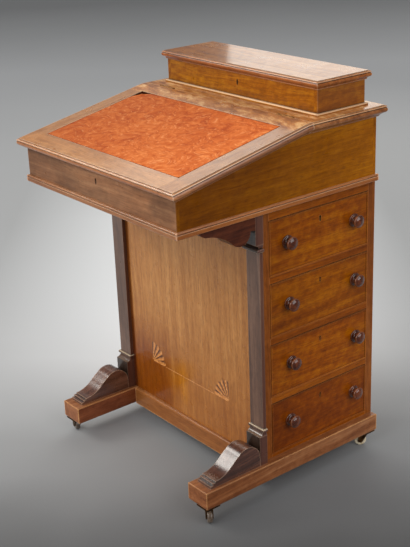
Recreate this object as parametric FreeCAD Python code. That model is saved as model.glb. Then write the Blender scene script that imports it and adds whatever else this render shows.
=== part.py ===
"""Davenport desk: sloping desk box and stationery box, on a pedestal of drawers with sledge feet.

Millimetres. X points to the right, where the drawers open, Y to the back and Z up.
The origin is on the floor, under the middle of the desk.
"""
import FreeCAD, Part
import math
import os

V = FreeCAD.Vector
UP = V(0, 0, 1)
ACROSS = V(1, 0, 0)

# ---- heights of the storeys, from the floor up
caster_height = 36.0
foot_height = 41.0
pedestal_height = 544.0
desk_front_height = 73.0
stationery_height = 52.0

# ---- desk box and its top
desk_width = 516.0
desk_depth = 512.0
desk_wall = 16.0
desk_floor = 10.0
slope_angle = 11.1
flat_run = 198.5           # from the bend of the top to the back of the box
bend_half = 10.5           # the rounded bend reaches this far to each side of its middle
top_thickness = 23.5
top_overhang = 16.1
board_gap = 0.5            # back edge of the slope lid to the fixed top
lid_gap = 0.3              # a closed lid above the walls it closes

# ---- moulded edge of the tops
edge_width = 5.2           # the flat top ends this far in from the nose
edge_quirk = 1.2
edge_bead = 2.6
edge_bead_in = 0.8
edge_nose_in = 3.6
edge_foot = 8.0            # height of the hollow under the nose
small_edge_foot = 5.0      # the same on the thinner stationery lid
edge_hollow = 1.2
edge_reveal = 3.0          # the hollow ends this far outside the wall below

# ---- leather writing surface, let into the slope
leather_side_border = 47.1
leather_front_border = 51.4  # from the nose of the lid, along the slope
leather_back_border = 33.3   # from the bend, along the slope
leather_thickness = 1.2
leather_gap = 0.4

# ---- stationery box on the flat top
stationery_inset = 17.5    # in from each side of the desk box
stationery_depth = 130.0
stationery_back_inset = 16.5
stationery_wall = 10.0
stationery_lid_thickness = 18.5
stationery_overhang = 10.0
base_bead = 5.0
divider_thickness = 6.0
divider_drop = 20.0        # below the top of the walls

# ---- moulding round the waist
waist_height = 14.5
waist_projection = 5.0
waist_band = 9.4
waist_round = 2.5
waist_quirk = 1.6

# ---- pedestal
pedestal_inset = 9.5       # in from each side of the desk box
pedestal_depth = 316.6
pedestal_back_out = 9.7    # behind the desk box
frame_thickness = 20.0
front_stile = 22.1
back_stile = 19.2
top_rail = 21.0
bottom_rail = 7.0
middle_rail = 14.0
front_panel_thickness = 12.0
dust_board = 10.0
guide_height = 15.0

# ---- sledge feet and plinth rails
foot_outset = 8.0          # outside each side of the desk box
foot_width = 60.0
foot_length = 485.7
foot_round = 6.0
foot_arris = 1.5
plinth_rail = 17.0
plinth_out = 8.1           # front rail in front of the pedestal
plinth_round = 6.0

# ---- pilasters
pilaster_width = 39.4
pilaster_depth = 8.2
pilaster_overhang = 6.8    # outside the pedestal's side
block_projection = 11.4    # base and upper blocks stand this far in front of the shaft
block_side = 2.7           # and this far outside it
block_height = 66.0
base_moulding = 16.0
base_lip = 4.0             # lip of the base moulding in front of the shaft
base_lip_side = 3.0        # and outside the block
upper_block_height = 60.0
capital_height = 17.0
capital_lip = 9.0
capital_lip_side = 1.8
moulding_step = 1.0
moulding_neck = 1.5
moulding_hollow = 2.0
moulding_nose = 1.2

# ---- toe scrolls on the feet
scroll_length = 132.5
scroll_height = 55.4
scroll_round = 34.0
scroll_start_angle = 45.0  # the hollow meets the round this far above the level of the round's middle
scroll_waist = (36.5, 17.5)  # where the hollow turns into the rise, from the end of the toe
scroll_bow = 3.0
scroll_swell = 0.6
scroll_back = 15.0         # upright back edge against the block
toe_steps = (6.0, 4.5, 3.0)
toe_tread = 6.5

# ---- ogee brackets under the desk box
bracket_length = 136.5
bracket_height = 51.0
bracket_round = 25.0
bracket_start_angle = 45.0
bracket_bow = 5.5
bracket_tip = 13.5
bracket_nose = 22.0
bracket_clear = 12.1       # gap between the round and the upper block
bracket_join = 28.0        # the gap closes this far below the top

# ---- quarter-fan inlays and the line between them
fan_radius = 50.0
fan_inset = 78.6           # apex from the pilaster beside it
fan_height = 94.0          # apexes above the foot tops
fan_rays = 5
fan_ray_gap = 2.0          # degrees between rays
fan_eye = 4.0
fan_tip = 5.0
inlay_depth = 0.8
string_width = 1.4

# ---- drawers
drawer_count = 4
front_thickness = 20.0
drawer_side_gap = 0.7
drawer_top_gap = 1.0
drawer_bottom_gap = 0.5
slide_gap = 0.3            # a drawer's sides above the board they run on
lining = 9.0
drawer_bottom = 5.0
bottom_groove = 7.0        # a drawer bottom above the lower edge of its sides
side_drop = 4.0            # a drawer's sides below the top of its front
drawer_back_room = 13.5    # behind a closed drawer
cock_bead = 3.0
cock_bead_proud = 1.2

# ---- turned knobs
knob_spacing = 185.0
knob_rise = 5.0            # above the middle of the drawer
knob_shift = 2.7           # from the middle of the drawer's width
knob_slips = {1: 4.0, 2: 8.0, 3: 4.0}  # lower drawers' knobs sit further back
knob_radius = 14.0
knob_length = 21.5
knob_base = 3.0
knob_neck = 8.0
knob_dome = 28.0           # degrees that the domed face falls away by at its rim
dowel_radius = 5.0
dowel_length = 12.0
dowel_gap = 0.05

# ---- keyholes and drawer locks
key_radius = 2.2
key_slot = 2.4
key_length = 11.0
key_below_top = 23.0
lock_width = 50.0
lock_height = 38.0
lock_thickness = 9.0
lock_plate = 1.5
lock_plate_width = 62.0
bolt_width = 28.0
bolt_thickness = 4.6
bolt_height = 18.0
bolt_gap = 0.15
bolt_travel = 6.0
mortice_gap = 0.8
escutcheon_wall = 0.9
escutcheon_depth = 4.0

# ---- locks of the two lids: a bolt slides sideways through a staple
slope_lock_thickness = 12.0
slope_lock_height = 38.0
slope_key_depth = 16.0     # keyhole below the top of the wall
slope_staple_width = 5.4
stationery_lock_thickness = 8.0
stationery_lock_height = 30.0
stationery_key_depth = 16.0
stationery_staple_width = 4.4
link_wall = 1.0
link_plate = 1.4
link_plate_width = 44.0
staple_length = 11.0
staple_thickness = 3.0
staple_eye = 5.0
staple_rim = 1.2
latch_length = 14.0
latch_gap = 0.4
latch_room = 2.5           # between the retracted bolt and the staple
latch_travel = 6.5

# ---- butt hinges
hinge_inset = 66.0         # middle of a hinge from the side of the desk box
hinge_length = 50.0
knuckle_radius = 2.3
knuckle_gap = 0.3
pin_radius = 1.1
pin_gap = 0.06
leaf_thickness = 1.1
slope_leaf = 17.0
stationery_leaf = 9.5

# ---- fittings inside the desk box
fittings_depth = 164.0
fittings_board = 8.0
upright_count = 3
inner_opening = 50.0       # height of the small drawers' opening
inner_front = 12.0
inner_lining = 6.0
inner_gap = 0.5
inner_bottom = 3.0
inner_back_room = 4.0
inner_knob_radius = 6.0
inner_knob_length = 9.0
inner_knob_base = 1.4
inner_knob_neck = 3.6
inner_dowel_radius = 2.4
inner_dowel_length = 8.0

# ---- casters
caster_inset = 20.0        # swivel from the foot's outer side
caster_end = 19.0          # swivel from the foot's end
caster_turns = {"front_right": 150.0, "front_left": 345.0, "back_right": 52.0, "back_left": 140.0}
plate_side = 34.0
plate_thickness = 2.5
stem_radius = 3.5
stem_gap = 0.05
wheel_radius = 13.5
wheel_width = 11.0
wheel_round = 3.0
caster_trail = 8.0
horn_crown = 2.0
horn_radius = 10.0
horn_cheek = 2.0
horn_end = 6.0
horn_gap = 0.3
axle_radius = 1.8
axle_gap = 0.06
screw_radius = 2.2
screw_sink = 1.0
screw_length = 14.0
screw_spacing = 24.0

spare = 5.0                # cutters reach this far past what they cut

# ---- derived places
foot_z = caster_height
pedestal_z = foot_z + foot_height
desk_z = pedestal_z + pedestal_height
lean = math.radians(slope_angle)
front_y = -desk_depth / 2
back_y = desk_depth / 2
slope_run = desk_depth - flat_run
lid_seat_z = desk_z + desk_front_height
break_y = front_y + slope_run
top_z = lid_seat_z + top_thickness / math.cos(lean) + slope_run * math.tan(lean)
joint_y = break_y + bend_half
bend_radius = bend_half / math.tan(lean / 2)
edge_nose_depth = (edge_quirk + edge_bead + top_thickness - edge_foot) / 2
slope_length = (slope_run + top_overhang + edge_nose_depth * math.sin(lean)) / math.cos(lean)
leather_width = desk_width + 2 * top_overhang - 2 * leather_side_border
leather_length = slope_length - leather_front_border - leather_back_border
under_top_z = top_z - top_thickness
half_top = desk_width / 2 + top_overhang
half_desk = desk_width / 2
half_inside = half_desk - desk_wall
hinge_y = joint_y + board_gap / 2
well_z = desk_z + desk_floor

half_pedestal = half_desk - pedestal_inset
half_hollow = half_pedestal - frame_thickness
pedestal_back = back_y + pedestal_back_out
pedestal_front = pedestal_back - pedestal_depth
opening_y = (pedestal_front + front_stile, pedestal_back - back_stile)
openings_z = (pedestal_z + bottom_rail, desk_z - top_rail)
drawer_pitch = (openings_z[1] - openings_z[0] + middle_rail) / drawer_count
drawer_height = drawer_pitch - middle_rail
pilaster_x = (half_pedestal + pilaster_overhang - pilaster_width, half_pedestal + pilaster_overhang)
pilaster_y = pedestal_front - pilaster_depth
block_x = (pilaster_x[0], pilaster_x[1] + block_side)
block_y = pilaster_y - block_projection
foot_x = (half_desk + foot_outset - foot_width, half_desk + foot_outset)
foot_front = pedestal_back - foot_length
panel_y = pedestal_front
plinth_front = pedestal_front - plinth_out

stationery_back = back_y - stationery_back_inset
stationery_front = stationery_back - stationery_depth
stationery_z = top_z + stationery_height
half_stationery = half_desk - stationery_inset
stationery_hinge_y = stationery_back + knuckle_radius + knuckle_gap
stationery_hinge_z = stationery_z + lid_gap / 2


# ---- drawing helpers

def box(x, y, z):
    """Board whose sides are given as (low, high) pairs."""
    return Part.makeBox(x[1] - x[0], y[1] - y[0], z[1] - z[0], V(x[0], y[0], z[0]))


def both(x):
    """Symmetrical pair for a half width."""
    return (-x, x)


def mirrored(shape):
    """The same piece on the other side of the desk."""
    return shape.mirror(V(0, 0, 0), ACROSS)


def pair(shape):
    return [shape, mirrored(shape)]


def bowed(start, end, rise):
    """Arc step from start to end that rises to the left of the way between them."""
    along, up = end[0] - start[0], end[1] - start[1]
    share = rise / math.hypot(along, up)
    middle = ((start[0] + end[0]) / 2 - up * share, (start[1] + end[1]) / 2 + along * share)
    return (middle, end)


def around(middle, radius, degrees):
    """Point on a circle, by its angle above the level."""
    turn = math.radians(degrees)
    return (middle[0] + radius * math.cos(turn), middle[1] + radius * math.sin(turn))


def face(place, steps):
    """Flat face through 2-D steps: a point for a straight edge, a (middle, end) pair for an arc."""
    edges = []
    here = place(*steps[0])
    for step in steps[1:] + steps[:1]:
        if isinstance(step[0], tuple):
            there = place(*step[1])
            edges.append(Part.Arc(here, place(*step[0]), there).toShape())
        else:
            there = place(*step)
            edges.append(Part.makeLine(here, there))
        here = there
    return Part.Face(Part.Wire(edges))


def prism_across(x, steps):
    """Solid with an outline in (y, z), between two places on X."""
    return face(lambda y, z: V(x[0], y, z), steps).extrude(V(x[1] - x[0], 0, 0))


def prism_deep(y, steps):
    """Solid with an outline in (x, z), between two places on Y."""
    return face(lambda x, z: V(x, y[0], z), steps).extrude(V(0, y[1] - y[0], 0))


def prism_up(z, steps):
    """Solid with an outline in (x, y), between two heights."""
    return face(lambda x, y: V(x, y, z[0]), steps).extrude(V(0, 0, z[1] - z[0]))


def turned(place, axis_point, axis, steps):
    """Solid of revolution from a flat outline."""
    return face(place, steps).revolve(axis_point, axis, 360)


def eased(solid, radius, wanted):
    """Rounds the edges whose bounding box passes the test."""
    edges = [e for e in solid.Edges if wanted(e.BoundBox)]
    return solid.makeFillet(radius, edges)


def mitred_frame(x, y, z, steps, reach, sides=("right", "left", "front", "back")):
    """Moulding planted round a rectangle, mitred at its corners; its outline is (out, up) from the wall."""
    middle = ((x[0] + x[1]) / 2, (y[0] + y[1]) / 2)
    half = ((x[1] - x[0]) / 2, (y[1] - y[0]) / 2)
    ways = {"right": (1, 0), "left": (-1, 0), "back": (0, 1), "front": (0, -1)}
    lengths = []
    for side in sides:
        out = V(ways[side][0], ways[side][1], 0)
        along = UP.cross(out)
        wall = half[0] if out.x else half[1]
        run = half[1] if out.x else half[0]
        start = V(middle[0], middle[1], z) + out * wall - along * (run + reach)
        strip = face(lambda o, u: start + out * o + UP * u, steps)
        strip = strip.extrude(along * (2 * (run + reach)))
        corner = V(middle[0], middle[1], z - spare) + out * wall
        mitre = [corner - along * run, corner + along * run,
                 corner + along * (run + reach) + out * reach, corner - along * (run + reach) + out * reach]
        wedge = Part.Face(Part.makePolygon(mitre + mitre[:1])).extrude(UP * (waist_height + 2 * spare))
        lengths.append(strip.common(wedge))
    return lengths


def keyhole(middle, axis):
    """Round hole with a slot below it, cut along an axis from the given place."""
    side = UP.cross(axis)
    bore = Part.makeCylinder(key_radius, axis.Length, middle, axis)
    foot = middle - UP * (key_length - key_radius)
    corners = [middle - side * (key_slot / 2 / side.Length), middle + side * (key_slot / 2 / side.Length),
               foot + side * (key_slot / 2 / side.Length), foot - side * (key_slot / 2 / side.Length)]
    slot = Part.Face(Part.makePolygon(corners + corners[:1])).extrude(axis)
    return bore.fuse(slot).removeSplitter()


# ---- sledge feet, plinth rails and toe scrolls

def sledge_feet():
    """Bars rounded all round their lower edges, with softened arrises above."""
    foot = box(foot_x, (foot_front, pedestal_back), (foot_z, pedestal_z))
    foot = eased(foot, foot_round, lambda b: b.ZLength < foot_arris and b.ZMax < pedestal_z - foot_arris)
    foot = eased(foot, foot_arris, lambda b: b.ZMin > pedestal_z - foot_arris)
    return [side.cut(caster_screws()) for side in pair(foot)]


def plinth_rails():
    x = both(foot_x[0])
    front = box(x, (plinth_front, plinth_front + plinth_rail), (foot_z, pedestal_z))
    top_front = lambda b: b.XLength > foot_width and abs(b.YMax - plinth_front) < 0.1
    front = eased(front, plinth_round, lambda b: top_front(b) and abs(b.ZMin - pedestal_z) < 0.1)
    back = box(x, (pedestal_back - plinth_rail, pedestal_back), (foot_z, pedestal_z))
    return [front, back]


def foot_scrolls():
    """Stepped toe, a hollow rise and a round head, standing against the pilaster's base block."""
    y, z = block_y - scroll_length, pedestal_z
    steps = [(y, z)]
    for rise in toe_steps:
        z += rise
        steps += [(y, z), (y + toe_tread, z)]
        y += toe_tread
    crown = (block_y - scroll_round, pedestal_z + scroll_height - scroll_round)
    meet = around(crown, scroll_round, 180 - scroll_start_angle)
    head = (around(crown, scroll_round, 100 - scroll_start_angle / 2), around(crown, scroll_round, 20))
    waist = (steps[-1][0] + scroll_waist[0], steps[-1][1] + scroll_waist[1])
    steps += [bowed(steps[-1], waist, -scroll_bow), bowed(waist, meet, scroll_swell), head]
    steps += [(block_y, pedestal_z + scroll_back), (block_y, pedestal_z)]
    return pair(prism_across(block_x, steps))


# ---- pilasters and brackets

def pilasters():
    """Base block, base moulding, shaft, capital and upper block, planted on the pedestal's front."""
    x0, x1 = pilaster_x
    y1 = pedestal_front
    base_z = pedestal_z + block_height
    shaft_z = base_z + base_moulding
    upper_z = desk_z - upper_block_height
    capital_z = upper_z - capital_height
    base_block = box(block_x, (block_y, y1), (pedestal_z, base_z))
    shaft = box((x0, x1), (pilaster_y, y1), (shaft_z, capital_z))
    upper_block = box(block_x, (block_y, y1), (upper_z, desk_z))
    base = moulded_block(base_z, base_moulding, 1, base_lip, base_lip_side)
    capital = moulded_block(upper_z, capital_height, -1, capital_lip, capital_lip_side)
    return [s for solid in (base_block, base, shaft, capital, upper_block) for s in pair(solid)]


def moulded_block(block_end, height, way, lip, side):
    """Moulding between a block and the shaft: a hollow next to the block, then a lip that stands out."""
    x0, x1 = block_x
    neck, nose = pilaster_y - moulding_neck, pilaster_y - lip + moulding_nose
    low, high = x0 - side + moulding_nose, x1 + side - moulding_nose
    levels = [block_end + way * height * share for share in (0, 0.55, 0.93, 1.0)]
    start = (block_y + moulding_step, levels[0])
    side_steps = [
        (pedestal_front, levels[0]), start, bowed(start, (neck, levels[1]), way * -moulding_hollow),
        (nose, levels[1]), bowed((nose, levels[1]), (nose, levels[2]), way * moulding_nose),
        (pilaster_y, levels[3]), (pedestal_front, levels[3]),
    ]
    front_steps = [
        (x0, levels[0]), (x0, levels[1]), (low, levels[1]),
        bowed((low, levels[1]), (low, levels[2]), way * moulding_nose),
        (x0, levels[3]), (pilaster_x[1], levels[3]),
        (high, levels[2]), bowed((high, levels[2]), (high, levels[1]), way * moulding_nose),
        (pilaster_x[1], levels[1]), (x1, levels[0]),
    ]
    moulding = prism_across((x0 - side, x1 + side), side_steps)
    return moulding.common(prism_deep((block_y - spare, pedestal_front), front_steps))


def top_brackets():
    """Ogee bracket under the desk box: a thin nose, a hollow and a round knee before the upper block."""
    tip = block_y - bracket_length
    knee = (block_y - bracket_clear - bracket_round, desk_z - bracket_height + bracket_round)
    meet = around(knee, bracket_round, 180 + bracket_start_angle)
    nose_end = (tip + bracket_nose, desk_z - bracket_tip)
    steps = [
        (tip, desk_z), bowed((tip, desk_z), nose_end, -bracket_tip / 4),
        bowed(nose_end, meet, bracket_bow),
        (around(knee, bracket_round, 300), around(knee, bracket_round, 0)),
        (block_y, desk_z - bracket_join), (block_y, desk_z),
    ]
    return pair(prism_across(block_x, steps))


# ---- pedestal

def fan(apex, way):
    """Quarter fan of tapering rays with round tips, opening upwards to one side."""
    rays = []
    slice_angle = 90 / fan_rays
    for k in range(fan_rays):
        low = k * slice_angle + fan_ray_gap / 2
        high = (k + 1) * slice_angle - fan_ray_gap / 2
        middle = (low + high) / 2
        turn = (lambda a: a) if way > 0 else (lambda a: 180 - a)
        at = lambda r, a: around(apex, r, turn(a))
        steps = [
            at(fan_eye, low), at(fan_radius - fan_tip, low),
            (at(fan_radius, middle), at(fan_radius - fan_tip, high)), at(fan_eye, high),
        ]
        rays.append(prism_deep((panel_y, panel_y + inlay_depth), steps))
    return rays


def fan_inlays():
    z = pedestal_z + fan_height
    apex = pilaster_x[0] - fan_inset
    start = -apex + fan_radius + string_width
    line = box(both(-start), (panel_y, panel_y + inlay_depth), (z, z + string_width))
    return fan((-apex, z), 1) + fan((apex, z), -1) + [line]


def panel_board():
    y = (panel_y, panel_y + front_panel_thickness)
    return box(both(half_hollow), y, (pedestal_z, desk_z))


def front_panel():
    return [panel_board().cut(fan_inlays())]


def back_panel():
    return [box(both(half_hollow), (opening_y[1], pedestal_back), (pedestal_z, desk_z))]


def drawer_z(k):
    """Height range of an opening, counted from the top."""
    high = openings_z[1] - k * drawer_pitch
    return (high - drawer_height, high)


def bolt_x():
    """Thickness range of a drawer lock's bolt."""
    middle = half_hollow + lock_thickness / 2
    return (middle - bolt_thickness / 2, middle + bolt_thickness / 2)


def side_frame():
    """Two stiles and five rails, with a mortice for a lock bolt over each opening."""
    x = (half_hollow, half_pedestal)
    boards = [
        box(x, (pedestal_front, opening_y[0]), (pedestal_z, desk_z)),
        box(x, (opening_y[1], pedestal_back), (pedestal_z, desk_z)),
        box(x, opening_y, (pedestal_z, openings_z[0])),
    ]
    middle = sum(opening_y) / 2
    for k in range(drawer_count):
        low = drawer_z(k)[1]
        high = desk_z if k == 0 else drawer_z(k - 1)[0]
        rail = box(x, opening_y, (low, high))
        slot_x = (bolt_x()[0] - mortice_gap, bolt_x()[1] + mortice_gap)
        slot_y = (middle - bolt_width / 2 - mortice_gap, middle + bolt_width / 2 + mortice_gap)
        boards.append(rail.cut(box(slot_x, slot_y, (low, low + bolt_travel + mortice_gap))))
    return boards


def dummy_side_frame():
    x = (-half_pedestal, -half_hollow)
    boards = [
        box(x, (pedestal_front, opening_y[0]), (pedestal_z, desk_z)),
        box(x, (opening_y[1], pedestal_back), (pedestal_z, desk_z)),
        box(x, opening_y, (pedestal_z, openings_z[0])),
    ]
    for k in range(drawer_count):
        high = desk_z if k == 0 else drawer_z(k - 1)[0]
        boards.append(box(x, opening_y, (drawer_z(k)[1], high)))
    return boards


def dust_boards():
    """Board under each drawer and, along its front, the guide that keeps the drawer square."""
    solids = []
    y = (panel_y + front_panel_thickness, opening_y[1])
    for k in range(drawer_count):
        top = drawer_z(k)[0]
        thickness = min(dust_board, bottom_rail) if k == drawer_count - 1 else dust_board
        board = box(both(half_hollow), y, (top - thickness, top))
        guide = box(both(half_hollow), (y[0], opening_y[0]), (top, top + guide_height))
        solids += [board, guide]
    return solids


# ---- drawers

def beaded_front(k, gap_y, gap_low, gap_high):
    """Drawer front on the right-hand side, with a raised bead round its face."""
    y = (opening_y[0] + gap_y, opening_y[1] - gap_y)
    z = (drawer_z(k)[0] + gap_low, drawer_z(k)[1] - gap_high)
    board = box((half_pedestal - front_thickness, half_pedestal + cock_bead_proud), y, z)
    inner_y = (y[0] + cock_bead, y[1] - cock_bead)
    inner_z = (z[0] + cock_bead, z[1] - cock_bead)
    board = board.cut(box((half_pedestal, half_pedestal + spare), inner_y, inner_z))
    lip = lambda b: b.XLength < 0.1 and b.XMin > half_pedestal + cock_bead_proud - 0.1
    return eased(board, cock_bead_proud / 2, lip)


def knob_places(k, slip):
    """Middles of a drawer's two knobs on its face; slip moves both to the back."""
    middle = sum(opening_y) / 2 + knob_shift + slip
    z = sum(drawer_z(k)) / 2 + knob_rise
    return [V(half_pedestal, middle + side * knob_spacing / 2, z) for side in (-1, 1)]


def knob_outline(radius, length, base, neck, dowel):
    """Half outline (out, r) of a turned knob: dowel, base ring, hollow neck and a domed round head."""
    bend = radius - neck
    dome = math.radians(knob_dome)
    dome_radius = (neck + bend * math.sin(dome)) / math.sin(dome)
    middle = (length - bend * math.cos(dome) - dome_radius * (1 - math.cos(dome)), neck)
    ring = radius - base / 2
    half_dome = dome / 2
    dome_middle = (length - dome_radius * (1 - math.cos(half_dome)), dome_radius * math.sin(half_dome))
    return [
        (-dowel[1], 0), (-dowel[1], dowel[0]), (0, dowel[0]), (0, ring), ((base / 2, radius), (base, ring)),
        bowed((base, ring), (middle[0] - bend, neck), -base / 6),
        (around(middle, bend, 90), around(middle, bend, knob_dome)),
        (dome_middle, (length, 0)),
    ]


def knob(at):
    steps = knob_outline(knob_radius, knob_length, knob_base, knob_neck, (dowel_radius, dowel_length))
    return turned(lambda out, r: V(at.x + out, at.y, at.z + r), at, ACROSS, steps)


def knob_holes(places):
    length = dowel_length + spare
    radius = dowel_radius + dowel_gap
    return [Part.makeCylinder(radius, length, at - ACROSS * dowel_length, ACROSS) for at in places]


def lock_place(k):
    """Middle of the lock on Y, and the top of the drawer front."""
    return sum(opening_y) / 2, drawer_z(k)[1] - drawer_top_gap


def drawer_keyhole(k):
    y, top = lock_place(k)
    start = V(half_hollow + lock_thickness - 2 * link_wall, y, top - key_below_top)
    return keyhole(start, ACROSS * (front_thickness + spare))


def lock_body(k):
    """Outer shape of a drawer lock: case and face plate."""
    y, top = lock_place(k)
    x = (half_hollow, half_hollow + lock_thickness)
    case = box(x, (y - lock_width / 2, y + lock_width / 2), (top - lock_height, top))
    plate_y = (y - lock_plate_width / 2, y + lock_plate_width / 2)
    return case.fuse(box(x, plate_y, (top - lock_plate, top))).removeSplitter()


def bolt(k):
    y, top = lock_place(k)
    return box(bolt_x(), (y - bolt_width / 2, y + bolt_width / 2), (top - bolt_height, top))


def drawer_lock(k):
    y, top = lock_place(k)
    x = (bolt_x()[0] - bolt_gap, bolt_x()[1] + bolt_gap)
    slot_y = (y - bolt_width / 2 - bolt_gap, y + bolt_width / 2 + bolt_gap)
    room = box(x, slot_y, (top - bolt_height - bolt_gap, top + spare))
    return [lock_body(k).cut([room, drawer_keyhole(k)])]


def escutcheon(k):
    """Brass thread let in round the top drawer's keyhole."""
    y, top = lock_place(k)
    start = V(half_pedestal - escutcheon_depth, y, top - key_below_top)
    ring = Part.makeCylinder(key_radius + escutcheon_wall, escutcheon_depth, start, ACROSS)
    foot_z_low = start.z - key_length + key_radius - escutcheon_wall
    half = key_slot / 2 + escutcheon_wall
    leg = box((start.x, half_pedestal), (y - half, y + half), (foot_z_low, start.z))
    return ring.fuse(leg).removeSplitter()


def drawer_front(k):
    front = beaded_front(k, drawer_side_gap, drawer_bottom_gap, drawer_top_gap)
    cuts = knob_holes(knob_places(k, knob_slips.get(k, 0.0))) + [lock_body(k), drawer_keyhole(k)]
    if k == 0:
        cuts.append(escutcheon(k))
    return [front.cut(cuts)]


def drawer_box(k):
    """Two sides, a back and a bottom behind the front."""
    z0, z1 = drawer_z(k)
    x = (-half_hollow + drawer_back_room, half_pedestal - front_thickness)
    y = (opening_y[0] + drawer_side_gap, opening_y[1] - drawer_side_gap)
    top = z1 - drawer_top_gap - side_drop
    floor_z = z0 + slide_gap + bottom_groove
    inside = (y[0] + lining, y[1] - lining)
    height = (z0 + slide_gap, top)
    sides = [box(x, (y[0], inside[0]), height), box(x, (inside[1], y[1]), height)]
    back = box((x[0], x[0] + lining), inside, (floor_z + drawer_bottom, top))
    bottom = box(x, inside, (floor_z, floor_z + drawer_bottom))
    return sides + [back, bottom]


def drawer_knobs(k):
    return [knob(at) for at in knob_places(k, knob_slips.get(k, 0.0))]


def drawer_fittings(k):
    parts = drawer_lock(k)
    if k == 0:
        parts.append(escutcheon(k).cut(drawer_keyhole(k)))
    return parts


def dummy_drawer_fronts():
    fronts = []
    for k in range(drawer_count):
        y, top = lock_place(k)
        blind = keyhole(V(half_pedestal - escutcheon_depth, y, top - key_below_top), ACROSS * (2 * spare))
        front = beaded_front(k, 0, 0, 0).cut(knob_holes(knob_places(k, 0)) + [blind])
        fronts.append(mirrored(front))
    return fronts


def dummy_knobs():
    return [mirrored(knob(at)) for k in range(drawer_count) for at in knob_places(k, 0)]


# ---- desk box

def on_slope(down, depth):
    """(y, z) of a place down the slope from the bend, and below its surface."""
    y = break_y - down * math.cos(lean) + depth * math.sin(lean)
    return (y, top_z - down * math.sin(lean) - depth * math.cos(lean))


def bend_middle(depth):
    radius = bend_radius - depth
    return (joint_y - radius * math.sin(lean / 2), top_z - bend_radius + radius * math.cos(lean / 2))


def under_lid():
    """Space above the walls of the desk box: over the slope, and over the flat part behind it."""
    seat = top_thickness + lid_gap
    steps = [
        on_slope(slope_length + spare, seat), on_slope(bend_half, seat), (joint_y, top_z - seat),
        (joint_y, under_top_z), (back_y + spare, under_top_z), (back_y + spare, top_z + spare),
        (front_y - spare - top_overhang, top_z + spare),
    ]
    return prism_across(both(half_desk + spare), steps)


def desk_front():
    y = front_y + desk_wall
    steps = [(-half_desk, front_y), (half_desk, front_y), (half_inside, y), (-half_inside, y)]
    wall = prism_up((desk_z, top_z), steps).cut(under_lid())
    return [wall.cut([lock_case(slope_lock()), lid_keyhole(slope_lock(), front_y, desk_wall)])]


def desk_walls():
    """Two sides and the back, mitred to each other and to the front."""
    inner = (front_y + desk_wall, back_y - desk_wall)
    side = [(half_desk, front_y), (half_desk, back_y), (half_inside, inner[1]), (half_inside, inner[0])]
    back = [(-half_desk, back_y), (half_desk, back_y), (half_inside, inner[1]), (-half_inside, inner[1])]
    height = (desk_z, top_z)
    right = prism_up(height, side).cut(under_lid())
    return pair(right) + [prism_up(height, back).cut(under_lid())]


def desk_floor_board():
    y = (front_y + desk_wall, back_y - desk_wall)
    return [box(both(half_inside), y, (desk_z, well_z))]


def waist_moulding():
    """Rounded band with a bead above it, planted round the foot of the desk box."""
    out = waist_projection
    band = (out, waist_band)
    bead_foot = (out - waist_quirk, waist_band)
    bead_top = (out - waist_quirk, waist_height)
    rise = (waist_height - waist_band) / 2 - 1.0
    steps = [
        (0, 0), (out - waist_round, 0),
        bowed((out - waist_round, 0), (out, waist_round), -waist_round * 0.29),
        band, bead_foot, bowed(bead_foot, bead_top, -rise), (0, waist_height),
    ]
    return mitred_frame(both(half_desk), (front_y, back_y), desk_z, steps, out)


# ---- tops with their moulded edges

def edge_waste(thickness, overhang, hollow_height):
    """What is routed off an edge, as (in from the nose, down from the top) steps."""
    bead_end = (edge_bead_in, edge_quirk + edge_bead)
    nose = ((edge_nose_in, bead_end[1]), (edge_nose_in, thickness - hollow_height))
    foot = (overhang - edge_reveal, thickness)
    return [
        (edge_width, -spare), (edge_width, edge_quirk),
        bowed((edge_width, edge_quirk), bead_end, 1.0), nose[0],
        bowed(nose[0], nose[1], edge_nose_in), bowed(nose[1], foot, -edge_hollow),
        (foot[0], thickness + spare), (-spare, thickness + spare), (-spare, -spare),
    ]


def mapped(steps, change):
    """The same outline in other coordinates."""
    return [tuple(change(*p) for p in s) if isinstance(s[0], tuple) else change(*s) for s in steps]


def flat_top(x, y, z, thickness, waste, edges):
    """Board with the moulding routed along the named edges."""
    board = box(x, y, (z, z + thickness))
    top = z + thickness
    wide = (x[0] - spare, x[1] + spare)
    deep = (y[0] - spare, y[1] + spare)
    cuts = {
        "right": lambda: prism_deep(deep, mapped(waste, lambda d, h: (x[1] - d, top - h))),
        "left": lambda: prism_deep(deep, mapped(waste, lambda d, h: (x[0] + d, top - h))),
        "front": lambda: prism_across(wide, mapped(waste, lambda d, h: (y[0] + d, top - h))),
        "back": lambda: prism_across(wide, mapped(waste, lambda d, h: (y[1] - d, top - h))),
    }
    for edge in edges:
        board = board.cut(cuts[edge]())
    return board


def desk_top():
    y = (joint_y + board_gap, back_y + top_overhang)
    waste = edge_waste(top_thickness, top_overhang, edge_foot)
    board = flat_top(both(half_top), y, under_top_z, top_thickness, waste, ("right", "left", "back"))
    return [board.cut(slope_hinges()["fixed_pocket"])]


def slope_edge_cutters():
    """Moulding cutters that follow the lid's right side: up the slope and round the bend."""
    waste = edge_waste(top_thickness, top_overhang, edge_foot)

    def at_bend_foot(d, h):
        return V(half_top - d, *on_slope(bend_half, h))

    def at_joint(d, h):
        return V(half_top - d, joint_y, top_z - h)

    down = V(0, -math.cos(lean), -math.sin(lean)) * (slope_length - bend_half + spare)
    straight = face(at_bend_foot, waste).extrude(down)
    middle = V(0, joint_y, top_z - bend_radius)
    bend = face(at_joint, waste).revolve(middle, ACROSS, slope_angle)
    front = prism_across(both(half_top + spare), mapped(waste, lambda d, h: on_slope(slope_length - d, h)))
    return pair(straight) + pair(bend) + [front]


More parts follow.
